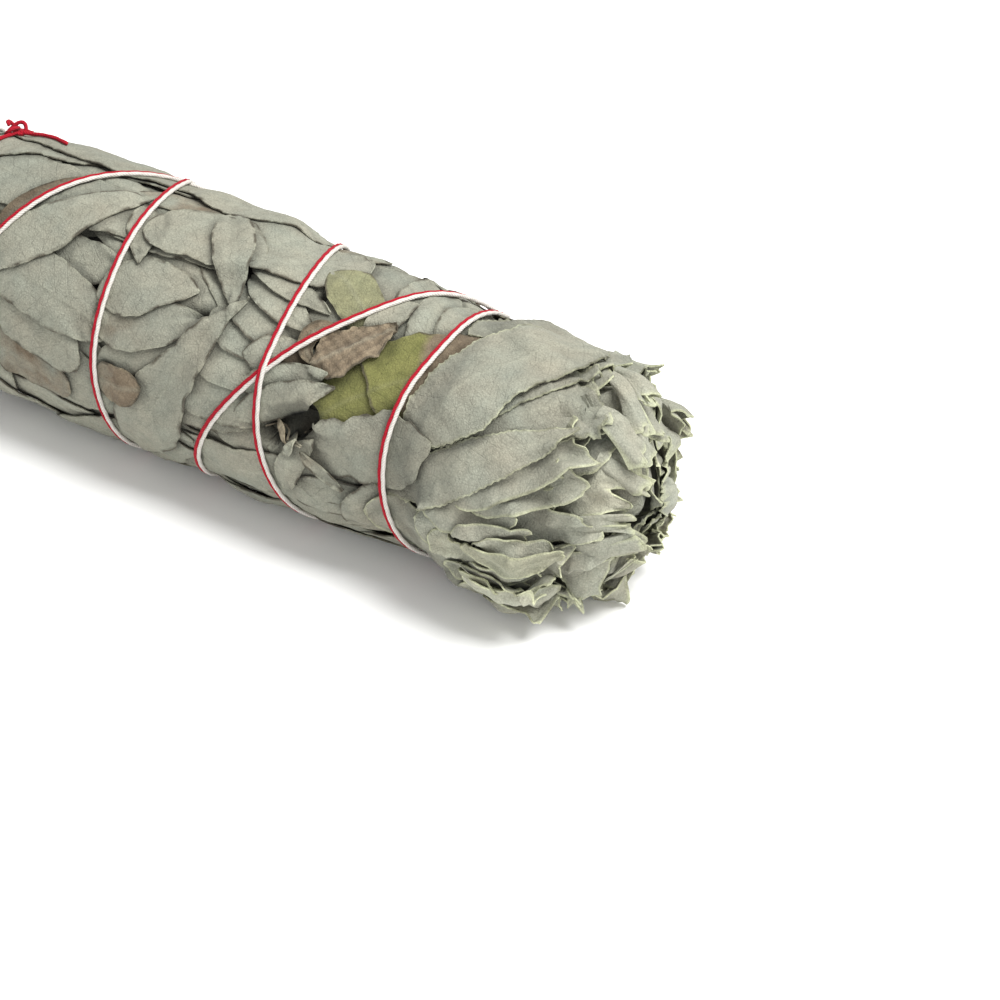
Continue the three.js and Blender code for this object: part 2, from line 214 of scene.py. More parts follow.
leafEdge = {
    "leastHalf": 0.16,    # half width at the ends, and what the teeth leave of it
    "leastSide": 0.12,
    # unevenness of the sides, in shares of the width, and of a torn end: pitches and heights
    "sidePitches": (13, 6, 3), "sideShares": (0.05, 0.035, 0.02),
    "endPitches": (7, 3, 1.4), "endHeights": (0.9, 0.4, 0.12),
}


def leafPlan(form, rng):
    # s runs from root to end and t from side to side; the midrib turns steadily, and the half width of the
    # outline, uneven and toothed, lies to each side of it
    rows = max(14, int(form["length"] / form["step"]))
    s = np.linspace(0, 1, rows)[:, None]
    t = np.linspace(-1, 1, form["columns"])[None, :]
    t = 0.25 * t + 0.75 * np.sin(0.5 * np.pi * t)
    turn = np.radians(form["heading"] + form["bend"] * (s - 0.5))
    stride = form["length"] / (rows - 1)
    alongX = np.cumsum(np.cos(turn), axis=0) * stride
    alongV = np.cumsum(np.sin(turn), axis=0) * stride
    place = s * form["length"]
    half = np.maximum(0.5 * form["width"] * outlines[form["outline"]](s), leafEdge["leastHalf"])
    sides = []
    for n in range(2):
        uneven = ragged(rng, place, leafEdge["sidePitches"], leafEdge["sideShares"])
        uneven = uneven * form["width"] * form["uneven"]
        teeth = form["scallop"] * np.abs(np.sin(np.pi * (place / form["scallopPitch"] + rng.random())))
        side = half + (uneven - teeth) * smoothStep(0.1, 2.0, half)
        sides.append(np.maximum(side, leafEdge["leastSide"]))
    across = t * np.where(t < 0, sides[0], sides[1])
    end = ragged(rng, across, leafEdge["endPitches"], leafEdge["endHeights"]) * form["torn"] * s ** 6
    x = form["x"] + alongX + np.cos(turn) * end - np.sin(turn) * across
    reference = form.get("reference") or float(outerRadius(form["x"]))
    angle = np.radians(form["angle"]) + (alongV + np.sin(turn) * end + np.cos(turn) * across) / reference
    return s, t, place, across, half, x, angle


def leafFolds(form, s, t, place, across, phase):
    # sines of the place along and across the leaf: curled and waved margins, buckles, pleats, wrinkles,
    # ridged crumples and a fold along the midrib, less the midrib's groove and the sunk root
    curls = 0.7 + 0.3 * np.sin(phase[0] + 5 * s + 1.5 * t)
    curl = form["lift"] * np.abs(t) ** 2.5 * (0.3 + 0.7 * s) * curls
    waves = np.sin(phase[1] + fullTurn * place / form["wavePitch"] + 2 * t)
    wave = form["wave"] * np.abs(t) ** 1.3 * (0.5 + 0.5 * waves)
    buckles = np.sin(phase[2] + place / 3.1 + 2.2 * t) * np.sin(phase[3] + place / 5.3 - 1.3 * t)
    pleats = 1 + np.sin(phase[3] + fullTurn * across / form["pleatPitch"] + 1.5 * s)
    broad = 0.3 * form["buckle"] * (1 + buckles) + form["pleat"] * pleats * smoothStep(0, 0.3, s)
    wrinkles = np.sin(phase[1] + 2.3 * place + 1.7 * across) * np.sin(phase[2] + 2.9 * across - 1.1 * place)
    folds = broad * (1 - 0.8 * np.abs(t) ** 4) + form["wrinkle"] * wrinkles
    oneWay = np.abs(np.sin(phase[0] + 0.55 * place + 0.4 * across))
    otherWay = np.abs(np.sin(phase[3] + 0.5 * across - 0.33 * place))
    folds = folds + form["crumple"] * (oneWay + otherWay - 1)
    folds = folds + form["fold"] * np.abs(t) * smoothStep(0, 0.4, s)
    crease = form["crease"] * np.exp(-(across / 0.8) ** 2) * smoothStep(1, 0.6, s)
    return curl + wave + folds - crease - form["sink"] * smoothStep(0.22, 0, s)


def leafSheet(leaf, wrap, rng):
    # a leaf's radius is the smoothed upper envelope of what lies below, plus its folds; near its end it hugs
    # what lies below, or ruffles and stands off
    form = {**leafForm, **leaf}
    s, t, place, across, half, x, angle = leafPlan(form, rng)
    below = wrap.at(x, angle) + form["gap"]
    radius = below
    for n in range(form["stiffness"]):
        radius = np.maximum(softened(radius), below)
    nearEnd = smoothStep(0.65, 1, s)
    radius = radius - form["hug"] * nearEnd * (radius - below)
    phase = rng.random(4) * fullTurn
    radius = radius + form["thickness"] / 2 + leafFolds(form, s, t, place, across, phase)
    wrap.lay(x, angle, radius + form["thickness"] / 2)
    ruffles = 1 + np.sin(phase[0] + fullTurn * across / form["rufflePitch"] + 3 * s)
    radius = radius + 0.5 * form["ruffle"] * smoothStep(0.45, 1, s) * ruffles + form["tipLift"] * nearEnd
    inside = np.minimum((1 - np.abs(t)) * half, (1 - s) * form["length"])
    return {
        "x": x, "angle": angle, "radius": radius, "form": form,
        "maps": np.stack([place + 0 * t, across], axis=-1),
        # painted highlight: a pale rim along the margin
        "rim": form["rimHighlight"] * smoothStep(form["rimWidth"], 0, inside),
        # painted shade of the gap beneath the margin: a dark line along it
        "seamShade": form["seamShade"] * smoothStep(0.5, 0.12, inside),
        "dry": form["brown"] + form["brownRoot"] * smoothStep(0.9, 0.45, s + 0.2 * t),
    }


# the margin's pale rim is a painted highlight, and its dark line painted shade of the gap beneath it; both are
# given as shares
plainLeaf = {
    "outline": "lance", "bend": 0.0, "uneven": 0.28, "torn": 0.0, "buckle": 0.25, "wavePitch": 9.0,
    "sink": 0.4, "tipLift": 0.0, "tone": 1.0, "brown": 0.0, "olive": 0.0, "brownRoot": 0.0,
    "rimHighlight": 0.1, "rimWidth": 0.5, "seamShade": 1.0, "wrinkle": 0.03, "hug": 0.8, "crumple": 0.06, "fold": 0.0,
}


def leafAlong(points, width, **more):
    # root, middle and tip of the midrib, each a place along the bundle and an angle about it
    radius = float(outerRadius(points[1][0]))
    strides = [(b[0] - a[0], radius * math.radians(b[1] - a[1])) for a, b in zip(points, points[1:])]
    first, second = [math.degrees(math.atan2(across, along)) for along, across in strides]
    turn = (second - first + 180) % 360 - 180
    return {
        **plainLeaf, "x": points[0][0], "angle": points[0][1],
        "heading": first + 0.5 * turn, "bend": 2 * turn,
        "length": sum(math.hypot(*stride) for stride in strides), "width": width, "reference": radius, **more,
    }


# Core: the hidden middle of the bundle, fluted like packed stems and leaves

core = {
    "depth": 4.2,         # below the outer leaves
    "least": 1.2,
    "from": -79.0, "to": 86.0, "taper": 9.0, "round": 55.0,
    "flutes": 23, "fluteDepth": 0.5,
    "rows": 130, "columns": 12, "thickness": 0.5,
    # a low tone and painted shade darken the core, as shade inside the bundle
    "tone": 0.4, "brown": 0.4, "paintedShade": 0.5,
    # where the tip begins, and how the core is creased there and lighter, with a higher tone and less painted
    # shade, where the tip lies open to the light
    "nearTip": (74, 82), "creases": 3, "creaseDepth": 1.6, "tipTone": 1.05, "tipPaintedShade": 0.1,
}


def coreRadius(x, angle):
    body = outerRadius(x) - core["depth"] + core["fluteDepth"] * np.sin(core["flutes"] * angle + 0.06 * x)
    ends = smoothStep(core["from"], core["from"] + core["taper"], x)
    ends = ends * np.sqrt(1 - np.clip((x - core["round"]) / (core["to"] - core["round"]), 0, 1) ** 2.5)
    return core["least"] + (body - core["least"]) * ends


gridX, gridAngle = np.meshgrid(
    np.linspace(wrapGrid["from"], wrapGrid["to"], wrapGrid["rows"]),
    np.linspace(0, 2 * np.pi, wrapGrid["columns"], endpoint=False), indexing="ij")
wrap = Wrap(coreRadius(gridX, gridAngle))
rng = np.random.default_rng(5)
sheets = []  # every leaf that is laid, in the order of laying


def layLeaf(leaf, piece=None, ring="outer"):
    sheets.append({**leafSheet(leaf, wrap, rng), "piece": piece, "ring": ring})


def varied(form):  # a pair of limits becomes a random value between them
    return {name: rng.uniform(*value) if isinstance(value, tuple) else value for name, value in form.items()}


def meanReach(low, high):  # mean radius of the leaves laid so far, between two places along the bundle
    return float(wrap.radius[(gridX[:, 0] > low) & (gridX[:, 0] < high)].mean())


# Tip: leaves that close over the round end of the core, row by row from the middle outwards

tip = {
    "root": 60.0, "rootSpread": 4.0, "ragged": 4.0, "angleSpread": 14.0, "headingSpread": 16.0,
    # where the ends of a row lie, how many leaves it has and how wide they are
    "rows": [(88.5, 4, 12), (87, 6, 14), (84.5, 7, 15), (82, 8, 16), (79.5, 9, 16), (77, 9, 16), (74, 9, 15)],
    "ring": (8, 2),       # how far behind the ends a row's radius is taken
    "leastRadius": 4.0,
    "innerRows": 3,       # rows that belong to the inner sprigs
    "openRows": 5,        # rows whose ends stand open, most of all at the open angle
    "openAngle": 135,
    # the end hangs forward at the underside and is cut back at the front and behind: angle and length
    "cuts": [(262, 4.0), (185, -5.0), (40, -2.5)],
    "cutRadius": 20,      # radius at which a cut has its full length
}
# the tip's leaves have a higher tone than those of the body, painted light on the tip's lit face, varied at
# random
tipLeaf = {
    "bend": (-45, 45), "width": (0.7, 1.25), "torn": (0.5, 1.6), "gap": (0.05, 0.3), "lift": (0, 1.2),
    "wave": (0, 0.6), "wavePitch": (5, 11), "ruffle": (0.3, 1.3), "rufflePitch": (5, 11),
    "tone": (1.12, 1.34), "tipLift": (-0.4, 2.4), "olive": (-0.5, 0.25),
    "outline": "torn", "stiffness": 10, "buckle": 0.4, "crumple": 0.25, "sink": 0.0, "columns": 21,
    "rimHighlight": 1.0, "thickness": 0.25, "seamShade": 0.15,
}


def cutBack(degrees):
    total = 0.0
    for angle, length in tip["cuts"]:
        total += length * max(0.0, math.cos(math.radians(degrees - angle))) ** 2
    return total


for row, (end, count, width) in enumerate(tip["rows"]):
    ringRadius = meanReach(end - tip["ring"][0], end - tip["ring"][1])
    startAngle = rng.uniform(0, 360)
    for n in range(count):
        root = tip["root"] + rng.uniform(0, tip["rootSpread"])
        place = (startAngle + 360 * n / count + rng.uniform(-tip["angleSpread"], tip["angleSpread"])) % 360
        reach = end + cutBack(place) * ringRadius / tip["cutRadius"] - rng.uniform(0, tip["ragged"])
        opening = 0.2 + 0.8 * max(0.0, math.cos(math.radians(place - tip["openAngle"])))
        opening = opening if row < tip["openRows"] else 0.1
        leaf = {
            **plainLeaf, "x": root, "angle": place, "heading": rng.normal(0, tip["headingSpread"]),
            "length": reach - root, "reference": max(ringRadius, tip["leastRadius"]), **varied(tipLeaf),
        }
        leaf["width"] *= width
        leaf["ruffle"] *= opening
        leaf["tipLift"] *= opening
        leaf["olive"] = max(0.0, leaf["olive"])
        layLeaf(leaf, ring="inner" if row < tip["innerRows"] else "outer")
print("tip laid:", len(sheets), "leaves")

# Base: the lower ends of the leaves, round the stems, ring outside ring

base = {
    "root": -62.0, "rootSpread": 2.0, "headingSpread": 8.0,
    "firstRadius": 3.0, "lastRadius": 13.5, "ringStep": 0.5, "pitch": 6,
    "ring": (-76, -70),   # where a ring's radius is taken
}
baseLeaf = {
    "length": (16, 22), "width": (6, 10), "gap": (0.1, 0.5), "tone": (0.8, 1.0), "brown": (0, 0.35),
    "outline": "torn", "torn": 1.0, "stiffness": 12, "wave": 0.5, "sink": 0.0, "step": 0.9, "columns": 9,
}
ringRadius = base["firstRadius"]
while ringRadius < base["lastRadius"]:
    count = max(3, round(2 * np.pi * ringRadius / base["pitch"]))
    for n in range(count):
        layLeaf({
            **plainLeaf, "x": base["root"] + rng.uniform(-base["rootSpread"], base["rootSpread"]),
            "angle": 360 * (n + rng.random()) / count,
            "heading": 180 + rng.uniform(-base["headingSpread"], base["headingSpread"]),
            "reference": ringRadius, **varied(baseLeaf),
        })
    ringRadius = max(ringRadius + base["ringStep"], meanReach(*base["ring"]))

# Outer leaves: rows from the tip to the base, laid in a random order

outer = {
    "first": 52.0, "last": -82.0, "rowStep": 8.0, "perRow": 9, "rootSpread": (-6, 6), "headingSpread": 20.0,
    "length": (36, 56), "end": 76.0, "endSpread": (-5, 2), "bend": (-25, 25), "width": (9, 15),
    "outlines": ["lance", "blunt", "lance"],
}
outerLeaf = {
    "gap": (0.05, 0.12), "lift": (0, 0.15), "wave": (0, 0.12), "tone": (0.88, 1.06), "brown": (-1.6, 0.45),
    "step": 0.8, "columns": 13, "stiffness": 24,
}
outerLeaves = []
rowCount = int((outer["first"] - outer["last"]) / outer["rowStep"])
for row in range(rowCount + 1):
    for n in range(outer["perRow"]):
        root = outer["first"] - row * outer["rowStep"] + rng.uniform(*outer["rootSpread"])
        length = min(rng.uniform(*outer["length"]), outer["end"] - root + rng.uniform(*outer["endSpread"]))
        leaf = {
            **plainLeaf, "x": root, "length": length,
            "angle": 360 * (n + 0.5 * (row % 2) + rng.uniform(-0.5, 0.5)) / outer["perRow"],
            "heading": rng.normal(0, outer["headingSpread"]), "bend": rng.uniform(*outer["bend"]),
            "width": rng.uniform(*outer["width"]), "outline": rng.choice(outer["outlines"]),
            **varied(outerLeaf),
        }
        leaf["brown"] = max(0.0, leaf["brown"])
        outerLeaves.append(leaf)
for n in rng.permutation(len(outerLeaves)):
    layLeaf(outerLeaves[n])
print("outer leaves laid:", len(sheets))

# Rolled leaf ends that stand out of the tip: place and angle of the root, length, size, turns, lean

rolls = [(78, 80, 7.0, 1.5, 1.3, 1.2), (76, 66, 7.0, 1.3, 1.2, 0.8), (79, 255, 8.0, 2.2, 1.1, 1.5),
         (75, 235, 6.0, 1.3, 1.3, 0.6), (81, 170, 6.0, 1.2, 1.4, 1.5), (79, 215, 7.0, 1.4, 1.2, 1.2),
         (70, 38, 6.0, 1.5, 1.2, 0.0), (67, 57, 8.0, 1.4, 1.2, 0.0), (82, 120, 5.5, 1.1, 1.5, 1.2),
         (76, 300, 7.0, 1.5, 1.2, 0.8), (73, 350, 6.0, 1.4, 1.3, 0.2), (80, 60, 5.0, 1.2, 1.3, 0.8),
         (80, 200, 8.5, 1.8, 1.4, 0.6), (76, 20, 7.0, 2.0, 1.3, 0.6), (79, 300, 7.0, 1.7, 1.3, 0.6),
         (80, 100, 7.0, 1.7, 1.4, 0.6), (74, 330, 7.0, 1.8, 1.2, 0.5)]

rollForm = {
    "rows": 20, "columns": 44, "thickness": 0.25, "flat": (0.35, 0.75), "sway": 1.5, "tone": (1.0, 1.1),
    "dentPitches": (4.5, 2.3), "dentShares": (0.16, 0.1), "endPitches": (5, 2), "endHeights": (1.1, 0.5),
}


def rollSheet(place, degrees, length, size, turns, lean):
    # a strip rolled into a loose spiral, crushed flat, round a line that leans away from the leaves below
    s = np.linspace(0, 1, rollForm["rows"])[:, None]
    u = np.linspace(0, 1, rollForm["columns"])[None, :]
    coil = 2 * np.pi * turns * u + rng.uniform(0, fullTurn)
    unrolled = u * turns * fullTurn * size
    dents = ragged(rng, unrolled + 2 * s, rollForm["dentPitches"], rollForm["dentShares"])
    wide = size * (0.6 + 0.4 * u) * (0.75 + 0.4 * s) * (1 + dents)
    flat = rng.uniform(*rollForm["flat"])
    bed = wrap.at(place + length * s, np.radians(degrees) + 0 * s)
    out = bed[0] + 0.8 * (bed[-1] - bed[0]) * s + 0.3 * size + lean * s + flat * wide * np.cos(coil)
    aside = 1.25 * wide * np.sin(coil) + rng.uniform(-rollForm["sway"], rollForm["sway"]) * s
    x = place + length * s + ragged(rng, unrolled, rollForm["endPitches"], rollForm["endHeights"]) * s ** 3
    girth = fullTurn * size
    inside = np.minimum((1 - s) * length + 0 * u, girth * np.minimum(u, 1 - u) + 0 * s)
    tone = rng.uniform(*rollForm["tone"])
    form = {**leafForm, **plainLeaf, "thickness": rollForm["thickness"], "tone": tone}
    # the rolled ends carry the pale rim of painted highlight all round their edges
    return {
        "x": x, "angle": math.radians(degrees) + np.arctan2(aside, out), "radius": np.hypot(aside, out),
        "maps": np.stack([length * s + 0 * u, girth * u + 2.0 + 0 * s], axis=-1),
        "rim": smoothStep(0.5, 0, inside), "dry": 0 * x, "seamShade": 0 * x, "form": form,
        "piece": None, "ring": "outer",
    }


sheets += [rollSheet(*roll) for roll in rolls]

# Hollows between leaves, that the leaves laid so far sink into: place, angle, half sizes and depth

hollows = [(31, 171, 2.8, 2.6, 6.0), (33.8, 164, 3.0, 2.8, 6.5), (36.3, 158, 2.4, 2.2, 6.0),
           (12.5, 135, 1.0, 0.9, 2.5), (18.5, 110, 3.4, 0.7, 2.2), (22.5, 129, 1.6, 0.8, 2.2),
           (29, 104, 1.2, 1.0, 2.2), (27.5, 128, 2.4, 1.0, 2.0), (63, 172, 2.2, 1.4, 3.0),
           (71, 190, 2.0, 1.5, 3.0), (48, 193, 1.2, 1.0, 2.0)]


def mounds(places, x, angle, power):
    # a sum of bells, each its height times exp(-(distance in half sizes) to twice the power)
    total = 0 * x
    for place, degrees, halfLength, halfWidth, height in places:
        aside = (angle - math.radians(degrees) + np.pi) % (2 * np.pi) - np.pi
        reach = ((x - place) / halfLength) ** 2 + (aside * bundle["radius"] / halfWidth) ** 2
        total = total + height * np.exp(-reach ** power)
    return total


wrap.radius = wrap.radius - mounds(hollows, gridX, gridAngle, 2)
for sheet in sheets:
    sheet["radius"] = sheet["radius"] - mounds(hollows, sheet["x"], sheet["angle"], 2)

# Leaves of the side that shows best, from the lowest to the uppermost

showing = [
    # left of the first turn
    leafAlong([(-30, 180), (-22, 184), (-10, 192)], 9, brown=0.5, tone=0.9, outline="blunt"),
    leafAlong([(-29, 162), (-17, 164), (-8, 178)], 10, outline="blunt"),
    leafAlong([(-26, 138), (-14, 132), (-3, 126)], 9, tone=1.03),
    leafAlong([(-31, 144), (-16, 148), (-3, 157)], 11, outline="blunt"),
    leafAlong([(-31.5, 142), (-26.5, 112), (-21, 88)], 3.2, brown=0.75, tone=0.7),
    leafAlong([(-33, 151), (-18, 117), (-9, 88)], 9.5, tone=1.04),
    # from the first turn to the crossing
    leafAlong([(9, 173), (18, 167), (31, 172)], 9, tone=0.98),
    leafAlong([(12, 149), (19, 147), (30, 148)], 9.5, outline="blunt"),
    leafAlong([(13, 129), (21, 134), (31, 139)], 8),
    leafAlong([(15.5, 114), (21, 121), (32, 131)], 8.5, lift=0.4, outline="blunt"),
    leafAlong([(15.5, 106), (21, 112), (32, 121)], 6, lift=0.5, tone=1.04),
    leafAlong([(14.5, 101), (20, 104), (32, 110)], 5, lift=0.5),
    leafAlong([(4, 85), (16, 86), (33, 84)], 14, outline="blunt", tone=1.04, lift=0.7),
    leafAlong([(-9, 64), (4, 60), (20, 58)], 14, outline="blunt", tone=1.04),
    leafAlong([(-5, 174), (6, 155), (14.5, 137)], 7, tone=0.95),
    leafAlong([(-7, 156), (4, 146), (14, 136)], 9, brown=0.25, tone=0.98),
    leafAlong([(-7, 146), (1, 131), (10, 125)], 10),
    leafAlong([(-9, 92), (-5, 108), (-2, 122)], 5.5),
    leafAlong([(17, 99), (5, 97), (-5, 106)], 12, outline="blunt", tone=1.02),
    leafAlong([(4, 77), (10.5, 98), (17, 125)], 7, tone=1.0, crease=0.3),
    leafAlong([(-2, 224), (12, 162), (19.5, 121)], 13, outline="spear", tone=0.96),
    # between the crossing and the last turn
    leafAlong([(22, 143), (29, 138), (34.5, 134)], 7, outline="blunt", tone=1.04),
    leafAlong([(27, 90), (34, 98), (41.5, 113)], 8, olive=0.6, outline="blunt", tone=1.08),
    leafAlong([(40, 60), (45, 104), (47, 127)], 7.5, outline="blunt"),
    leafAlong([(45, 60), (48, 100), (50, 123)], 6.5, outline="blunt", tone=1.03),
    leafAlong([(49, 60), (52, 95), (54.5, 115)], 6.5, outline="blunt"),
    leafAlong([(40.5, 106), (43, 118), (45, 133)], 4),
    leafAlong([(44, 86), (42, 98), (41.5, 116)], 5.5, outline="blunt", tone=1.05),
    leafAlong([(27, 144), (33, 138), (41, 135)], 4.5, brown=0.8, olive=0.6, tone=0.55),
    leafAlong([(34, 149), (39, 138), (43, 130)], 6.5, olive=0.65, tone=0.8),
    # along the lower edge
    leafAlong([(30, 206), (40, 205), (52, 206)], 8, tone=0.9),
    leafAlong([(31, 199), (40, 198), (50, 197)], 5, tone=0.95, lift=0.4),
    leafAlong([(35, 191), (42, 190), (51, 189)], 4.5, tone=0.92, lift=0.4),
    leafAlong([(50, 188), (48, 193), (47, 199)], 3, brown=0.6, tone=0.9, lift=0.9),
    leafAlong([(43, 210), (55, 182), (64, 170)], 9),
]
# crumpled leaves: a full pale rim of painted highlight, and less painted shade along the margin
crumpled = {
    "outline": "torn", "torn": 1.0, "rimHighlight": 1.0, "buckle": 0.4, "pleat": 0.1, "pleatPitch": 3.6,
    "wrinkle": 0.06, "crumple": 0.45, "lift": 0.4, "wave": 0.3, "wavePitch": 5.0, "hug": 0.0, "seamShade": 0.4,
    "stiffness": 16,
}
# the tip, below: midrib, width, height of the ruffles, lift of the end, tone and fold along the midrib
lowTip = [
    ([(70, 203), (79, 212), (85, 228)], 9, 1.2, 0.8, 1.16, 0.0),
    ([(70, 180), (79, 175), (84, 174)], 8, 0.8, 0.4, 1.18, 0.5),
    ([(47, 196), (62, 206), (74, 228)], 14, 0.8, 0.9, 1.0, 0.0),
    ([(58, 183), (66, 187), (73.5, 193)], 7, 0.6, 1.2, 1.1, 0.8),
    ([(60, 175), (68, 172), (75, 167)], 6, 0.5, 1.0, 1.08, 0.7),
    ([(66, 167), (76, 152), (82, 142)], 7, 0.8, 0.9, 1.1, 0.6),
    ([(64, 168), (75, 144), (81.5, 125)], 7, 0.8, 0.8, 1.08, 0.4),
]
for points, width, ruffle, tipLift, tone, fold in lowTip:
    showing.append(leafAlong(points, width, ruffle=ruffle, tipLift=tipLift, tone=tone, fold=fold, **crumpled))
for leaf in showing:
    layLeaf(leaf)

# Flaps: short crumpled ends that stand off the tip's face, beyond the leaves that cover its upper side

flaps = {
    "count": 34, "from": 183, "to": 350, "crowding": 1.4, "ends": (74, 85), "cutShare": 0.7,
    "length": (8, 16), "headingSpread": 16.0,
    "lowFrom": 225, "lowLift": 0.3,   # beyond this angle the ends stand off less
}
# the flaps' high tone is painted light on the tip's lit face
flapLeaf = {
    "bend": (-30, 30), "width": (3.5, 8), "torn": (0.3, 1.0), "gap": (0.05, 0.2), "lift": (0, 0.3),
    "fold": (-0.3, 1.1), "wave": (0, 0.3), "wavePitch": (3, 7), "ruffle": (0, 0.9), "rufflePitch": (3, 6),
    "tipLift": (0, 1.3), "tone": (1.15, 1.5), "olive": (-0.5, 0.25),
    "stiffness": 6, "step": 0.4, "thickness": 0.25,
}
for n in range(flaps["count"]):
    place = flaps["from"] + (flaps["to"] - flaps["from"]) * rng.random() ** flaps["crowding"]
    end = rng.uniform(*flaps["ends"]) + flaps["cutShare"] * cutBack(place)
    length = rng.uniform(*flaps["length"])
    bed = float(wrap.at(np.array([end - 0.5 * length]), np.radians([place]))[0])
    leaf = {
        **plainLeaf, **crumpled, "x": end - length, "angle": place, "length": length,
        "heading": rng.normal(0, flaps["headingSpread"]), "reference": max(bed, tip["leastRadius"]),
        **varied(flapLeaf),
    }
    leaf["tipLift"] *= flaps["lowLift"] if place > flaps["lowFrom"] else 1.0
    leaf["olive"] = max(0.0, leaf["olive"])
    layLeaf(leaf)

# Loose leaves of another colour, and the leaves that lie over them

looseLeaves = [
    ("tan_leaf", leafAlong([(-6, 181), (0, 178), (5, 175)], 7, brown=0.62, tone=1.02, outline="blunt")),
    ("olive_leaf", leafAlong([(51, 131), (43.5, 143), (38.5, 160)], 14.5, olive=1.0, tone=0.92,
                             scallop=0.16)),
    ("olive_leaf", leafAlong([(63, 102), (54, 119), (46, 137)], 16, olive=1.0, outline="torn", torn=0.3,
                             brownRoot=1.0)),
    ("brown_leaf", leafAlong([(36.5, 117), (31, 126), (34, 137)], 3.0, brown=1.0, tone=1.2, lift=1.4,
                             wrinkle=0.2)),
    ("brown_leaf", leafAlong([(34, 137), (39.7, 123), (44, 106)], 9, brown=1.0, tone=1.25, buckle=1.2,
                             lift=0.9, wave=0.6, wavePitch=4.0, wrinkle=0.32, uneven=1.0, crease=-0.4,
                             columns=25)),
]
for piece, leaf in looseLeaves:
    layLeaf(leaf, piece)

# toothed leaves: a pale rim of painted highlight, painted shade along the margin, and larger teeth
toothed = {
    "rimHighlight": 0.8, "rimWidth": 0.4, "seamShade": 0.5, "scallop": 0.22, "scallopPitch": 1.2,
    "step": 0.3, "columns": 19,
}
over = [
    leafAlong([(54, 92), (63, 62), (76, 34)], 17, outline="blunt", tone=1.0, **toothed),
    leafAlong([(52, 163), (66, 135), (79, 96)], 12, outline="torn", torn=0.7, tone=1.0, lift=0.4, **toothed),
    leafAlong([(49, 180), (66, 153), (80, 117)], 8.5, tone=1.03, lift=0.3, **toothed),
    leafAlong([(54, 155), (65.5, 120), (76, 80)], 9, tone=1.0, lift=0.3, **toothed),
    leafAlong([(56, 150), (63, 131), (71, 108)], 3.0, lift=0.9, wave=0.5, wavePitch=4.0, tone=0.98,
              **toothed),
    leafAlong([(53, 154), (62.5, 112), (69, 50)], 16, outline="blunt", tone=1.02, **toothed),
    leafAlong([(60, 147), (48, 164), (37.5, 171)], 12, outline="blunt", torn=1.3, uneven=0.7, tone=0.92),
    leafAlong([(23, 157), (32, 146), (38.5, 138)], 6, tone=1.08),
    leafAlong([(23, 171), (33, 153), (40, 142)], 5.8, tone=1.04),
    leafAlong([(31, 204), (34.5, 184), (38.8, 167)], 5, tone=1.06),
    leafAlong([(36, 174), (40.3, 180), (44, 186)], 2.2, tone=1.0, brown=0.3, lift=0.8),
    leafAlong([(29.5, 176), (32, 171), (35.5, 168)], 1.5, brown=0.6, tone=1.1, lift=0.6),
    leafAlong([(32, 177), (34, 172), (37, 171)], 1.2, brown=0.4, tone=1.2, lift=0.5),
    leafAlong([(29, 171), (31.5, 169), (34, 171)], 1.0, brown=0.8, tone=1.3, lift=0.5),
    leafAlong([(31, 164), (33, 168), (34.5, 174)], 0.9, brown=0.7, tone=1.4, lift=0.3),
    leafAlong([(33.5, 179), (35, 174), (36, 169)], 1.6, brown=0.3, tone=1.3, lift=0.6),
]
for leaf in over:
    layLeaf(leaf)
print("leaves laid:", len(sheets))

# Gathering: the whole bundle is drawn in or let out so that its mean radius follows the outline

gather = {
    "window": 4.0, "ease": 2.0, "least": 0.72, "most": 1.12, "above": 0.2,
    # where the bundle is thicker or thinner than its outline: place, angle, half sizes and height
    "bulges": [(-38, 55, 9, 9, 1.0), (13, 52, 7, 8, 2.2), (25, 52, 5, 8, -1.0), (47, 52, 8, 8, 1.1),
               (62, 52, 5, 8, -1.3)],
}


def blurred(values, width):
    # a bell curve, width millimetres wide, laid over the grid by its waves
    waveX = np.fft.fftfreq(wrapGrid["rows"], (wrapGrid["to"] - wrapGrid["from"]) / wrapGrid["rows"])
    waveV = np.fft.fftfreq(wrapGrid["columns"], 2 * np.pi * bundle["radius"] / wrapGrid["columns"])
    bell = np.exp(-2 * np.pi ** 2 * width ** 2 * (waveX[:, None] ** 2 + waveV[None, :] ** 2))
    return np.fft.ifft2(np.fft.fft2(values) * bell).real


wanted = outerRadius(gridX) + gather["above"] + mounds(gather["bulges"], gridX, gridAngle, 1)
share = wanted / np.maximum(blurred(wrap.radius, gather["window"]), 1)
drawn = Wrap(blurred(np.clip(share, gather["least"], gather["most"]), gather["ease"]))
wrap.radius = wrap.radius * drawn.radius
print("gathered by:", np.round([drawn.radius.min(), drawn.radius.mean(), drawn.radius.max()], 2))


def gathered(x, angle, radius):
    return radius * drawn.at(x, angle)


# Threads: their route, in winding angle and place along the bundle

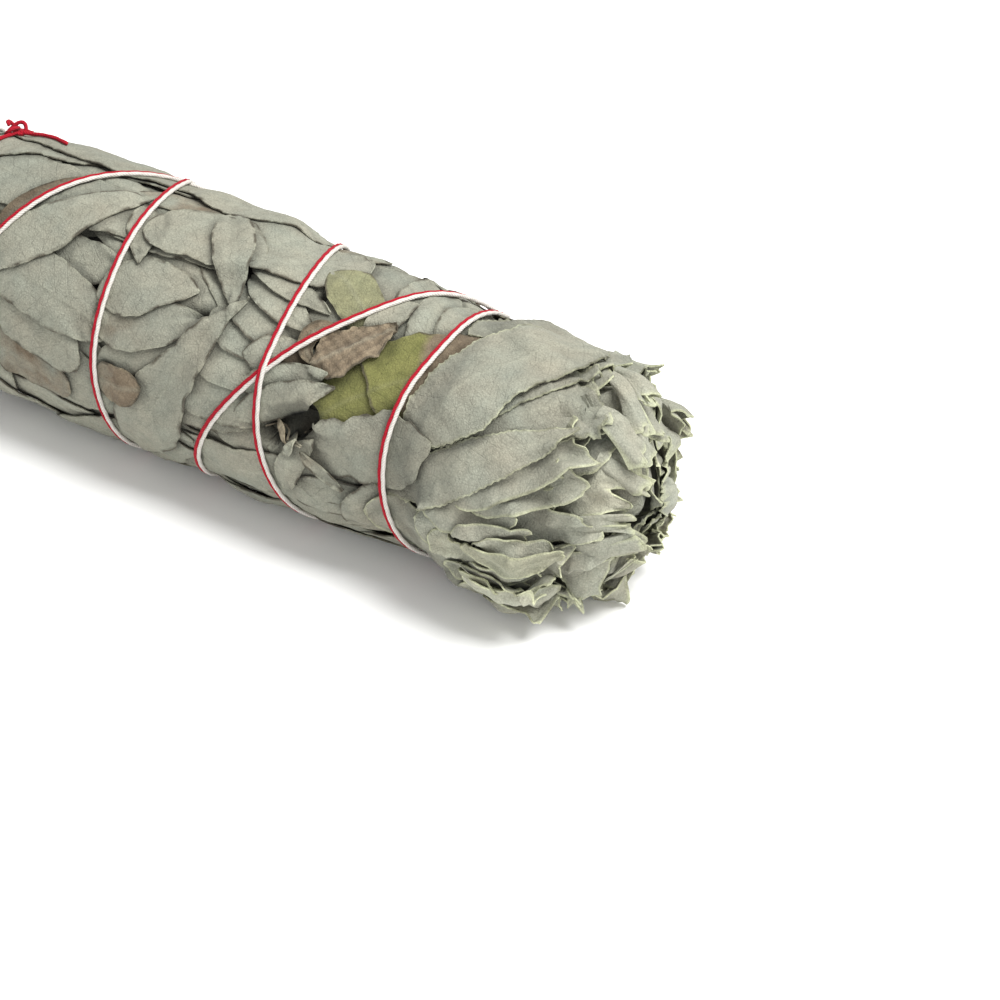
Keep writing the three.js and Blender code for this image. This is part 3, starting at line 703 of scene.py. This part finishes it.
thread = {
    "route": [(75, -41), (180, -47), (270, -54), (360, -60), (450, -64), (810, -68.5), (900, -67.5),
              (990, -62), (1080, -54.5), (1170, -47.5), (1260, -41.5), (1350, -33), (1440, -19), (1530, -7.4),
              (1620, -4.2), (1710, -1), (1800, 12), (1890, 25), (1980, 28.5), (2070, 35), (2160, 46),
              (2250, 52.3), (2295, 51.6), (2340, 51.5), (2430, 54.5), (2520, 51), (2610, 41), (2700, 18.6),
              (2745, 12.8), (2790, 10.5), (2880, 2), (2970, -20.5), (3060, -36), (3150, -44.5),
              (3240, -44.5), (3315, -42.5)],
    "turnsBack": 2475,    # winding angle where the close turns end and the steep ones begin, below them
    "strandRadius": 0.33,
    "step": 0.4,
    "plies": 3,
    "plyPitch": 2.6,
    "plyDepth": 0.1,
    "sides": 12,
    "press": 0.5,         # how far the thread sinks below the leaves beside it
    "tension": 15,        # points over which its height evens out
    "flank": 0.06,        # how fast the leaves rise again with the square of the distance
    "reach": 7.0,         # how far aside the leaves are pressed, and in how many steps that is worked out
    "reachSteps": 57,
    "valleyEase": 0.6,
    "crossing": 1.0,      # a close turn that comes nearer than this to a steep one rises over it
    "crossingRise": 1.7,  # in strand radii
    "crossingEase": 5,    # points over which it rises
    "turning": 40,        # points before the turn back, which lie near it and don't cross it
    "seat": 0.85,         # height of the centre line over the pressed leaves, in strand radii
    "beside": 0.9,        # each strand's distance from the middle of the pair, in strand radii
    "floor": 0.55,        # least height of the centre line over the surface
    "whiteShort": 14,     # points by which the white strand ends before the knot
}


def catmullRom(knots, perSpan):
    # a smooth curve through the points, in equal shares of each span
    ends = np.concatenate([2 * knots[:1] - knots[1:2], knots, 2 * knots[-1:] - knots[-2:-1]])
    share = np.linspace(0, 1, perSpan, endpoint=False)[None, :, None]
    a, b, c, d = [ends[n:n + len(knots) - 1, None, :] for n in range(4)]
    curve = 0.5 * (2 * b + (c - a) * share + (2 * a - 5 * b + 4 * c - d) * share ** 2
                   + (3 * b - a - 3 * c + d) * share ** 3)
    return np.concatenate([curve.reshape(-1, knots.shape[1]), knots[-1:]])


def distances(points):  # along the line, from its first point
    return np.concatenate([[0], np.cumsum(np.linalg.norm(np.diff(points, axis=0), axis=1))])


def evenly(points, step):
    length = distances(points)
    places = np.linspace(0, length[-1], max(4, int(length[-1] / step)))
    return np.stack([np.interp(places, length, column) for column in points.T], axis=-1)


def evenedOut(values, width):
    # each point takes the mean of its neighbours, weighted by a bell curve that is width points wide
    bell = np.exp(-0.5 * (np.arange(-3 * width, 3 * width + 1) / width) ** 2)
    return np.convolve(np.pad(values, 3 * width, mode="edge"), bell / bell.sum(), mode="valid")


route = catmullRom(np.array(thread["route"], dtype=float), 24)
windings = np.arange(thread["route"][0][0], thread["route"][-1][0], 1.0)
routeX = np.interp(windings, route[:, 0], route[:, 1])
unwound = evenly(np.stack([routeX, np.radians(windings) * bundle["radius"]], axis=-1), thread["step"])
threadX, threadAngle = unwound[:, 0], unwound[:, 1] / bundle["radius"]

# the thread's height: that of the leaves, evened out and pressed in; the close turns rise over the steep ones
isReturn = threadAngle > math.radians(thread["turnsBack"])
threadRadius = evenedOut(wrap.at(threadX, threadAngle), thread["tension"]) - thread["press"]
aside = (threadAngle[~isReturn][:, None] - threadAngle[isReturn][None, :] + np.pi) % (2 * np.pi) - np.pi
ahead = threadX[~isReturn][:, None] - threadX[isReturn][None, :]
apart = np.hypot(aside * bundle["radius"], ahead).min(axis=1)
apart[-thread["turning"]:] = np.inf
crossing = evenedOut(np.where(apart < thread["crossing"], 1.0, 0.0), thread["crossingEase"])
threadRadius[~isReturn] += thread["crossingRise"] * thread["strandRadius"] * np.minimum(crossing * 1.5, 1)

# the valley: what stands higher than the thread and its flanks is pressed down; the limits are laid with
# their sign turned, so that the lowest stays, over a start that limits nothing
direction = np.gradient(np.stack([threadX, threadAngle * bundle["radius"]], axis=-1), axis=0)
direction /= np.linalg.norm(direction, axis=1, keepdims=True)
aside = np.linspace(-thread["reach"], thread["reach"], thread["reachSteps"])[None, :]
limit = Wrap(np.full(wrap.radius.shape, -60.0))
limit.lay(threadX[:, None] + aside * direction[:, 1:],
          threadAngle[:, None] - aside * direction[:, :1] / bundle["radius"],
          -(threadRadius[:, None] + thread["flank"] * aside ** 2))
press = Wrap(blurred(np.maximum(wrap.radius + limit.radius, 0), thread["valleyEase"]))


def settled(x, angle, radius):
    # the thread presses all that lies near its route, and the surface below flattens the underside
    pressed = radius - press.at(x, angle) * np.clip(radius / outerRadius(x), 0, 1.1) ** 3
    points = around(x, angle, pressed)
    above = points[..., 2] - bundle["floorGap"]
    points[..., 2] = bundle["floorGap"] + 0.5 * (above + np.sqrt(above ** 2 + bundle["floorSoftness"] ** 2))
    return points


# Meshes

def meshPiece(name, points, quads, materials, maps=None, looks=None, sharpAngle=50):
    mesh = bpy.data.meshes.new(name)
    mesh.vertices.add(len(points))
    mesh.vertices.foreach_set("co", (points * mm).astype(np.float32).ravel())
    mesh.loops.add(quads.size)
    mesh.loops.foreach_set("vertex_index", quads.astype(np.int32).ravel())
    mesh.polygons.add(len(quads))
    mesh.polygons.foreach_set("loop_start", np.arange(0, quads.size, 4, dtype=np.int32))
    mesh.update(calc_edges=True)
    if maps is not None:
        layer = mesh.uv_layers.new(name="pieceMap")
        layer.data.foreach_set("uv", maps[quads.ravel()].astype(np.float32).ravel())
    for look, values in (looks or {}).items():
        mesh.attributes.new(look, "FLOAT", "POINT").data.foreach_set("value", values.astype(np.float32))
    mesh.shade_smooth()
    mesh.set_sharp_from_angle(angle=math.radians(sharpAngle))
    piece = bpy.data.objects.new(name, mesh)
    bpy.context.scene.collection.objects.link(piece)
    for material in materials:
        mesh.materials.append(material)
    return piece


def dress(piece, node):
    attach(piece, "root")
    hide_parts(node)


# Materials

class Value:
    # a socket in an expression: operators add Math nodes

    def __init__(self, shade, socket):
        self.shade, self.socket = shade, socket

    def __add__(self, other):
        return self.shade.math("ADD", self, other)

    def __sub__(self, other):
        return self.shade.math("SUBTRACT", self, other)

    def __rsub__(self, other):
        return self.shade.math("SUBTRACT", other, self)

    def __mul__(self, other):
        return self.shade.math("MULTIPLY", self, other)

    __radd__ = __add__
    __rmul__ = __mul__


class Shade:
    # one material's nodes; fixed holds the shader's constant sockets

    def __init__(self, name, fixed):
        self.material = bpy.data.materials.new(name)
        self.material.use_nodes = True
        self.nodes = self.material.node_tree.nodes
        self.links = self.material.node_tree.links
        self.shader = self.nodes["Principled BSDF"]
        for socket, value in fixed.items():
            self.shader.inputs[socket].default_value = value

    def put(self, target, value):
        if isinstance(value, Value):
            self.links.new(value.socket, target)
        else:
            target.default_value = value

    def node(self, kind, settings, inputs, output=0):
        made = self.nodes.new(kind)
        for name, value in settings.items():
            setattr(made, name, value)
        for name, value in inputs.items():
            self.put(made.inputs[name], value)
        return Value(self, made.outputs[output])

    def math(self, operation, first, second=0.0, clamp=False):
        settings = {"operation": operation, "use_clamp": clamp}
        return self.node("ShaderNodeMath", settings, {0: first, 1: second})

    def limited(self, value):
        return self.math("ADD", value, 0.0, clamp=True)

    def blend(self, factor, first, second, mode="MIX"):
        settings = {"data_type": "RGBA", "blend_type": mode, "clamp_factor": True}
        return self.node("ShaderNodeMix", settings, {0: factor, 6: first, 7: second}, 2)

    def attribute(self, name):
        return self.node("ShaderNodeAttribute", {"attribute_name": name}, {}, "Fac")

    def spot(self):  # the place in the piece, in metres
        return self.node("ShaderNodeTexCoord", {}, {}, "Object")

    def pieceMap(self):  # the place along the piece and across it
        place = self.node("ShaderNodeUVMap", {"uv_map": "pieceMap"}, {})
        return [self.node("ShaderNodeSeparateXYZ", {}, {0: place}, axis) for axis in ("X", "Y")]

    def noise(self, place, scale, detail=3.0, output="Fac"):
        inputs = {"Vector": place, "Scale": scale, "Detail": detail}
        return self.node("ShaderNodeTexNoise", {}, inputs, output)

    def vectors(self, operation, inputs):
        return self.node("ShaderNodeVectorMath", {"operation": operation}, inputs)

    def cells(self, place, scale):  # distance to the nearest edge of a net of cells
        settings = {"feature": "DISTANCE_TO_EDGE"}
        return self.node("ShaderNodeTexVoronoi", settings, {"Vector": place, "Scale": scale}, "Distance")

    def zigzag(self, value):  # up from 0 to 1 and down again, over each whole step of the value
        return self.math("PINGPONG", value, 0.5) * 2.0

    def finish(self, colour, roughness, height, distance):
        bump = self.node("ShaderNodeBump", {}, {"Height": height, "Distance": distance, "Strength": 1.0})
        self.put(self.shader.inputs["Base Color"], colour)
        self.put(self.shader.inputs["Roughness"], roughness)
        self.put(self.shader.inputs["Normal"], bump)
        return self.material


# the pale colour is painted highlight for the rims, and the darkest one painted shade along the margins
leafColours = {
    "cool": (0.275, 0.285, 0.23, 1), "warm": (0.305, 0.29, 0.225, 1), "pale": (0.52, 0.54, 0.34, 1),
    "olive": (0.15, 0.155, 0.05, 1), "yellow": (0.22, 0.215, 0.075, 1),
    "brown": (0.12, 0.085, 0.055, 1), "tan": (0.27, 0.22, 0.15, 1), "vein": (0.4, 0.4, 0.31, 1),
    "seamShade": (0.06, 0.05, 0.035, 1),
}
# how many of each there are to a metre
leafScales = {
    "patches": 140.0, "mottle": 420.0, "felt": 3200.0, "net": 2300.0, "veins": 520.0, "veinWarp": 700.0,
    "seamShadeBreaks": 330.0,
}
leafRelief = 0.00014


def leafMaterial():
    # felted dry leaf: mottled tone, paler midrib, fine net, warped net of veins, side veins, a paler rim of
    # painted highlight and a dark broken line of painted shade along the margin; brown and olive blend in by
    # leaf, and painted shade darkens what lies below the leaves round it
    shade = Shade("drySage", {"Sheen Weight": 0.04, "Sheen Roughness": 0.6, "Specular IOR Level": 0.15})
    spot = shade.spot()
    along, across = shade.pieceMap()
    aside = shade.math("ABSOLUTE", across)
    tone, brown, olive, rim, paintedShade, seamShade = [shade.attribute(look) for look in leafLooks]
    patches = shade.noise(spot, leafScales["patches"])
    mottle = shade.noise(spot, leafScales["mottle"], 5.0)
    felt = shade.noise(spot, leafScales["felt"], 2.0)
    net = shade.limited(shade.cells(spot, leafScales["net"]) * 5.0)
    straight = shade.vectors("SCALE", {0: spot, "Scale": leafScales["veins"]})
    warp = shade.noise(spot, leafScales["veinWarp"], 2.0, "Color")
    veinNet = shade.limited(shade.cells(shade.vectors("ADD", {0: straight, 1: warp}), 1.0) * 9.0)
    midrib = shade.math("EXPONENT", aside * aside * -5.0)
    sideVeins = shade.limited((shade.zigzag(along * 0.32 + aside * 0.28) - 0.86) * 7.0)
    colour = shade.blend(shade.limited((patches - 0.3) * 2.2), leafColours["cool"], leafColours["warm"])
    green = shade.blend(shade.limited((mottle - 0.25) * 1.6), leafColours["olive"], leafColours["yellow"])
    colour = shade.blend(olive, colour, green)
    dry = shade.blend(mottle, leafColours["brown"], leafColours["tan"])
    colour = shade.blend(shade.limited((patches + brown * 1.25 - 0.95) * 3.5), colour, dry)
    colour = shade.blend(midrib * 0.2 * (1.0 - 0.7 * olive), colour, leafColours["vein"])
    # painted highlight: the pale rim along the margin
    colour = shade.blend(rim * 0.6, colour, leafColours["pale"])
    # painted shade of the gap under each margin: a dark line, broken by noise
    seamShadeLine = shade.limited(seamShade * (shade.noise(spot, leafScales["seamShadeBreaks"]) * 7.0 - 3.0))
    colour = shade.blend(seamShadeLine * 0.85, colour, leafColours["seamShade"])
    light = 0.33 + 0.14 * net + 0.07 * veinNet + 0.35 * mottle + 0.5 * felt - 0.07 * sideVeins
    # painted shade: what lies below the leaves round it is darkened
    light = tone * light * (1.0 - 0.95 * paintedShade)
    grey = shade.node("ShaderNodeCombineXYZ", {}, {0: light, 1: light, 2: light})
    colour = shade.blend(1.0, colour, grey, "MULTIPLY")
    height = net * 0.25 + veinNet * 0.3 + felt * 0.3 + mottle * 0.8 + midrib * 0.6 - sideVeins * 0.25
    return shade.finish(colour, 0.78 + 0.14 * felt, height, leafRelief)


cotton = {
    "fuzz": 2600.0,       # tufts to a metre
    "relief": 0.00008,
    # colour of the fibres, and the darker colour between them, painted shade in the grooves
    "red": [(0.42, 0.012, 0.026, 1), (0.16, 0.005, 0.01, 1)],
    "white": [(0.7, 0.67, 0.62, 1), (0.34, 0.31, 0.28, 1)],
}


def threadMaterial(name):
    # cotton: fibres that slant round the strand, with painted shade between them, broken by random fuzz
    shade = Shade(name + "Cotton", {"Sheen Weight": 0.04, "Sheen Roughness": 0.5, "Specular IOR Level": 0.1})
    along, turn = shade.pieceMap()
    fibre = shade.zigzag(along * 1.9 + turn * 5.0)
    fuzz = shade.noise(shade.spot(), cotton["fuzz"])
    colour, dark = cotton[name]
    # painted shade in the grooves between the fibres, and fuzz of random tone
    tint = shade.blend(shade.limited(fibre * 0.6 + fuzz * 0.6), dark, colour)
    return shade.finish(tint, 0.72 + 0.2 * fuzz, fibre * 0.6 + fuzz * 0.4, cotton["relief"])


wood = {
    "grain": 1500.0, "grainStretch": (0.12, 1.0, 1.0), "blotch": 260.0, "relief": 0.0002,
    "groove": (0.12, 0.09, 0.055, 1), "bark": (0.31, 0.25, 0.17, 1), "lichen": (0.3, 0.28, 0.21, 1),
    "pith": (0.62, 0.53, 0.38, 1), "cut": (0.4, 0.31, 0.2, 1), "ring": (0.3, 0.22, 0.14, 1),
}


def stemMaterial():
    # grey-brown bark with long grooves; the cut end is paler, with rings and a soft pith
    shade = Shade("dryStem", {"Specular IOR Level": 0.3})
    spot = shade.spot()
    drawnOut = shade.node("ShaderNodeMapping", {}, {"Vector": spot, "Scale": wood["grainStretch"]})
    grain = shade.noise(drawnOut, wood["grain"], 4.0)
    blotch = shade.noise(spot, wood["blotch"])
    cut = shade.attribute("cutEnd")
    ring = shade.attribute("cutRadius")
    rings = shade.zigzag(ring * 4.0 + blotch * 0.4)
    bark = shade.blend(grain, wood["groove"], wood["bark"])
    bark = shade.blend(blotch * 0.5, bark, wood["lichen"])
    face = shade.blend(shade.limited(ring * 1.3), wood["pith"], wood["cut"])
    face = shade.blend(rings * 0.25, face, wood["ring"])
    height = grain + rings * cut * 0.3
    return shade.finish(shade.blend(cut, bark, face), 0.75 + 0.15 * grain, height, wood["relief"])


materials = {
    "leaf": leafMaterial(),
    "red": threadMaterial("red"),
    "white": threadMaterial("white"),
    "stem": stemMaterial(),
}
print("materials made:", len(materials))

# Leaf pieces: the leaves and the part of the core in one sprig's share of the bundle

# the leaves, evened out over a near and a wide stretch, are roofs: points darken with painted shade between
# two depths below them
shadow = {
    "near": 0.5, "nearDepths": (0.05, 0.8), "nearShare": 0.45,
    "wide": 3.0, "wideDepths": (0.8, 2.6),
    "straight": 56, "below": 1.0,         # up to this place the wide roof is at least this near the outline
    "open": (66, 74), "openShare": 0.6,   # the tip lies open to the light
}


def sprigOf(angle, ring):  # the sprig in whose share of the bundle the angle lies
    share = 360 / sprigs[ring]["count"]
    number = int(((math.degrees(angle) - sprigs[ring]["first"] + share / 2) % 360) // share)
    return f"{ring}_sprig_{number + 1}_leaves"


def bothFaces(values, depth=1):  # the upper face's values, and the same again for the lower one
    return np.tile(values.reshape(-1, depth), (2, 1)).squeeze()


roof = Wrap(blurred(wrap.radius, shadow["near"]))
body = np.where(np.abs(gridX) < shadow["straight"], outerRadius(gridX) - shadow["below"], 0)
wideRoof = Wrap(np.maximum(blurred(wrap.radius, shadow["wide"]), body))
piles = {}
for sheet in sheets:
    x, angle, form = sheet["x"], sheet["angle"], sheet["form"]
    home = sheet["piece"] or sprigOf(float(angle[len(x) // 2, x.shape[1] // 2]), sheet["ring"])
    radius = gathered(x, angle, sheet["radius"])
    points, quads = shell(settled(x, angle, radius), form["thickness"])
    # painted shade: the further a point lies below the near and the wide roof, the darker it is painted
    paintedShade = shadow["nearShare"] * smoothStep(*shadow["nearDepths"], roof.at(x, angle) - radius)
    paintedShade = np.maximum(paintedShade, smoothStep(*shadow["wideDepths"], wideRoof.at(x, angle) - radius))
    paintedShade = paintedShade * (1 - shadow["openShare"] * smoothStep(*shadow["open"], x))
    looks = {
        "leafTone": form["tone"], "leafOlive": form["olive"],
        "leafPaintedShade": bothFaces(paintedShade), "leafBrown": bothFaces(sheet["dry"]),
        "leafRimHighlight": bothFaces(sheet["rim"]), "leafSeamShade": bothFaces(sheet["seamShade"]),
    }
    piles.setdefault(home, Pile()).add(points, quads, bothFaces(sheet["maps"], 2), looks)

for number in range(sprigs["outer"]["count"]):
    half = math.pi / sprigs["outer"]["count"]
    middle = math.radians(sprigs["outer"]["first"]) + 2 * half * number
    x, angle = np.meshgrid(np.linspace(core["from"], core["to"], core["rows"]),
                           np.linspace(middle - half, middle + half, core["columns"]), indexing="ij")
    nearTip = smoothStep(*core["nearTip"], x)
    radius = coreRadius(x, angle) - core["least"]
    creases = core["creaseDepth"] * np.abs(np.sin(core["creases"] * angle + 0.3 * x))
    radius = radius + 0.01 - nearTip * creases * np.clip(radius / 4, 0, 1)
    points, quads = shell(settled(x, angle, gathered(x, angle, radius)), core["thickness"])
    maps = np.stack([x, 0 * x + 9.0], axis=-1)  # far from a midrib
    nearTip = bothFaces(nearTip)
    # the core's low tone and painted shade give way near the tip, where light falls in
    looks = {
        "leafTone": core["tone"] + (core["tipTone"] - core["tone"]) * nearTip,
        "leafBrown": core["brown"] * (1 - nearTip), "leafOlive": 0.0, "leafRimHighlight": 0.0,
        "leafPaintedShade": core["paintedShade"] + (core["tipPaintedShade"] - core["paintedShade"]) * nearTip, "leafSeamShade": 0.0,
    }
    piles[f"outer_sprig_{number + 1}_leaves"].add(points, quads, bothFaces(maps, 2), looks)

for node, pile in piles.items():
    name = node.replace("leaves", "foliage").replace("_leaf", "_loose_leaf")
    points, quads, maps = pile.joined()
    looks = {look: np.concatenate(values) for look, values in pile.looks.items()}
    piece = meshPiece(name, points, quads, [materials["leaf"]], maps, looks)
    dress(piece, node)
print("leaf pieces made:", len(piles))

# Thread pieces

def tubeFaces(rings, sides, order):
    # quads between neighbouring rings, and fans of quads that close both ends; order -1 turns them over
    index = np.arange(rings * sides).reshape(rings, sides)
    beside = np.roll(index, -1, axis=1)
    corners = [index[:-1], beside[:-1], beside[1:], index[1:]]
    corners = corners if order > 0 else corners[:1] + corners[:0:-1]
    lids = []
    for ring, way in ((index[0], -order), (index[-1], order)):
        ring = ring[::way]
        lids += [[ring[0], ring[k], ring[k + 1], ring[k + 2]] for k in range(1, sides - 2, 2)]
    return np.concatenate([np.stack(corners, axis=-1).reshape(-1, 4), np.array(lids)])


def strandTube(centre):
    # rings along the line, each with one lobe for each ply, turning with the distance; ends drawn to a point
    length = distances(centre)[:, None]
    tangent = np.gradient(centre, axis=0)
    tangent /= np.linalg.norm(tangent, axis=1, keepdims=True)
    outward = (centre - np.array([0, 0, bundle["axisHeight"]])) * np.array([0, 1, 1])
    side = np.cross(tangent, outward)
    side /= np.linalg.norm(side, axis=1, keepdims=True)
    up = np.cross(side, tangent)
    turn = np.linspace(0, 2 * np.pi, thread["sides"], endpoint=False)[None, :]
    lobes = 1 + thread["plyDepth"] * np.cos(thread["plies"] * turn - 2 * np.pi * length / thread["plyPitch"])
    ends = np.ones((len(centre), 1))
    ends[[0, -1]] = 0.05
    size = thread["strandRadius"] * lobes * ends
    spokes = np.cos(turn)[..., None] * side[:, None] + np.sin(turn)[..., None] * up[:, None]
    rings = centre[:, None] + size[..., None] * spokes
    maps = np.stack([length + 0 * turn, turn / (2 * np.pi) + 0 * length], axis=-1)
    return rings.reshape(-1, 3), tubeFaces(len(centre), thread["sides"], 1), maps.reshape(-1, 2)


threadRadius = threadRadius + thread["seat"] * thread["strandRadius"]
strands = {}
for colour, side in (("red", -1), ("white", 1)):
    away = side * thread["beside"] * thread["strandRadius"]
    angle = threadAngle - away * direction[:, 0] / threadRadius
    points = around(threadX + away * direction[:, 1], angle, threadRadius)
    points[:, 2] = np.maximum(points[:, 2], thread["floor"])
    strands[colour] = [points]
strands["white"][0] = strands["white"][0][thread["whiteShort"]:-thread["whiteShort"]]
print("thread lengths, mm:", {colour: round(distances(lines[0])[-1]) for colour, lines in strands.items()})

# the red strand's ends meet in a trefoil knot, with a short tail along the leaves
knot = {
    "size": 0.62, "points": 90, "open": 0.2, "lift": 0.7,
    "tail": [(-42, 75), (-38, 72.5), (-34.5, 72), (-31, 74)],
    "tailRadius": 20.0, "tailEase": 4,
}
knotPlace = 0.5 * (strands["red"][0][0] + strands["red"][0][-1])
t = np.linspace(knot["open"], 2 * np.pi - knot["open"], knot["points"])
loop = np.stack([np.sin(t) + 2 * np.sin(2 * t), np.cos(t) - 2 * np.cos(2 * t), -1.1 * np.sin(3 * t)], axis=-1)
strands["red"].append(knotPlace + knot["size"] * loop + np.array([0, 0, knot["lift"]]))
tail = np.array(knot["tail"]) * np.array([1, math.radians(knot["tailRadius"])])  # angles as lengths of arc
tail = evenly(catmullRom(tail, 12), thread["step"])
tailX, tailAngle = tail[:, 0], tail[:, 1] / knot["tailRadius"]
tailRadius = evenedOut(wrap.at(tailX, tailAngle) - press.at(tailX, tailAngle), knot["tailEase"])
strands["red"].append(around(tailX, tailAngle, tailRadius + thread["strandRadius"]))

for colour, lines in strands.items():
    pile = Pile()
    for centre in lines:
        pile.add(*strandTube(centre), {})
    points, quads, maps = pile.joined()
    piece = meshPiece(f"{colour}_cotton_thread", points, quads, [materials[colour]], maps, sharpAngle=70)
    dress(piece, f"{colour}_thread")
print("thread pieces made:", len(strands))

# Stems: square with round corners, as sage has, a little bent, with a sawn end

stemForm = {
    "radius": 1.7, "rows": 60, "sides": 20, "square": 0.1, "squareTurn": 0.02,
    "swayPitches": (31, 17), "sway": (0.16, 0.1),
    "knobPitches": (9, 5), "knobs": (0.5, 0.4), "knobShare": 0.07,
    "thickLength": 17.0, "taper": [1, 0.95, 0.72],
    # rings of a cut end: share of the radius, and how far the pith of the lower end is sunk
    "cutRings": [(0.97, 0.0), (0.66, 0.0), (0.33, 0.1), (0.02, 0.25)],
}


def stemPiece(node, angle, share):
    # rings along the stem, each a circle with four slight corners, and smaller rings across the cut ends
    low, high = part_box(node)
    x = np.linspace(low.x, high.x, stemForm["rows"])[:, None] / mm
    turn = np.linspace(0, 2 * np.pi, stemForm["sides"], endpoint=False)[None, :]
    centre = around(x, np.full_like(x, angle), share * outerRadius(x))
    sway = ragged(rng, x, stemForm["swayPitches"], stemForm["sway"])
    knobs = stemForm["knobShare"] * ragged(rng, x, stemForm["knobPitches"], stemForm["knobs"])
    uneven = 1 + stemForm["square"] * np.cos(4 * turn + stemForm["squareTurn"] * x) + knobs
    taper = np.interp(x, [x.min(), x.min() + stemForm["thickLength"], x.max()], stemForm["taper"])
    size = stemForm["radius"] * uneven * taper
    rings = np.stack([x + 0 * turn, centre[..., 1] + sway + size * np.cos(turn),
                      centre[..., 2] - sway + size * np.sin(turn)], axis=-1)
    shares, sunk = np.array(stemForm["cutRings"]).T
    hearts = [ring.mean(axis=0) for ring in (rings[0], rings[-1])]
    lower = hearts[0] + (rings[0] - hearts[0]) * shares[:, None, None]
    upper = hearts[1] + (rings[-1] - hearts[1]) * shares[:, None, None]
    lower[..., 0] += sunk[:, None]
    rows = np.concatenate([lower[::-1], rings, upper])
    cutRadius = np.concatenate([shares[::-1], np.zeros(len(rings)), shares])
    looks = {"cutEnd": np.where(cutRadius > 0, 1.0, 0.0), "cutRadius": cutRadius}
    looks = {look: np.repeat(values, stemForm["sides"]) for look, values in looks.items()}
    quads = tubeFaces(len(rows), stemForm["sides"], -1)
    piece = meshPiece(node.replace("stem", "woody_stem"), rows.reshape(-1, 3), quads, [materials["stem"]],
                      looks=looks, sharpAngle=60)
    dress(piece, node)


for ring, sprig in sprigs.items():
    for number in range(sprig["count"]):
        angle = math.radians(sprig["first"] + number * 360 / sprig["count"])
        stemPiece(f"{ring}_sprig_{number + 1}_stem", angle, sprig["stemShare"])
print("stems made")

# Floor, light and camera

studio = {
    "floorSize": 6.0, "floorColour": (0.97, 0.97, 0.96, 1), "floorRoughness": 0.9,
    "worldStrength": 0.6,
    "keyPower": 13.0, "keySize": 0.5, "keyPlace": (0.42, 0.1, 0.85),
    "fillPower": 3.0, "fillSize": 0.8, "fillPlace": (0.7, -0.6, 0.3),
    "lightsAim": (0.03, 0, 0.02),
}
half = studio["floorSize"] / 2
corners = [(-half, -half, 0), (half, -half, 0), (half, half, 0), (-half, half, 0)]
floorMesh = bpy.data.meshes.new("paleFloor")
floorMesh.from_pydata(corners, [], [(0, 1, 2, 3)])
floor = bpy.data.objects.new("paleFloor", floorMesh)
bpy.context.scene.collection.objects.link(floor)
floorLook = {"Base Color": studio["floorColour"], "Roughness": studio["floorRoughness"]}
floorMesh.materials.append(Shade("paleFloor", floorLook).material)

world = bpy.data.worlds.new("softRoom")
bpy.context.scene.world = world
world.use_nodes = True
world.node_tree.nodes["Background"].inputs["Color"].default_value = (1, 1, 1, 1)
world.node_tree.nodes["Background"].inputs["Strength"].default_value = studio["worldStrength"]

target = Vector(studio["lightsAim"])
for name in ("key", "fill"):
    lamp = bpy.data.lights.new(name + "Light", "AREA")
    lamp.energy = studio[name + "Power"]
    lamp.size = studio[name + "Size"]
    light = bpy.data.objects.new(name + "Light", lamp)
    light.location = studio[name + "Place"]
    light.rotation_euler = (target - light.location).to_track_quat("-Z", "Y").to_euler()
    bpy.context.scene.collection.objects.link(light)

view = {
    "azimuth": 37.4, "elevation": 33.9, "distance": 0.64, "focalPixels": 4052.0, "imageSide": 1000.0,
    "aimPlace": 0.035, "aimPixel": (374.4, 395.5),   # where the axis at that place is in the image
    "sensorWidth": 36.0, "clip": (0.01, 20.0),
}
azimuth = math.radians(view["azimuth"])
elevation = math.radians(view["elevation"])
level = math.cos(elevation)
back = Vector((math.sin(azimuth) * level, -math.cos(azimuth) * level, math.sin(elevation)))
right = Vector((math.cos(azimuth), math.sin(azimuth), 0))
up = back.cross(right)
seen = Vector((view["aimPlace"], 0, bundle["axisHeight"] * mm))
scale = view["distance"] / view["focalPixels"]
centre = view["imageSide"] / 2
aim = seen + right * (centre - view["aimPixel"][0]) * scale + up * (view["aimPixel"][1] - centre) * scale
camera = bpy.data.objects.new("camera", bpy.data.cameras.new("camera"))
camera.location = seen + back * view["distance"]
camera.rotation_euler = (aim - camera.location).to_track_quat("-Z", "Y").to_euler()
camera.data.sensor_width = view["sensorWidth"]
camera.data.lens = view["sensorWidth"] * view["focalPixels"] / view["imageSide"]
camera.data.clip_start, camera.data.clip_end = view["clip"]
bpy.context.scene.collection.objects.link(camera)
bpy.context.scene.camera = camera
bpy.context.scene.view_settings.view_transform = "Standard"
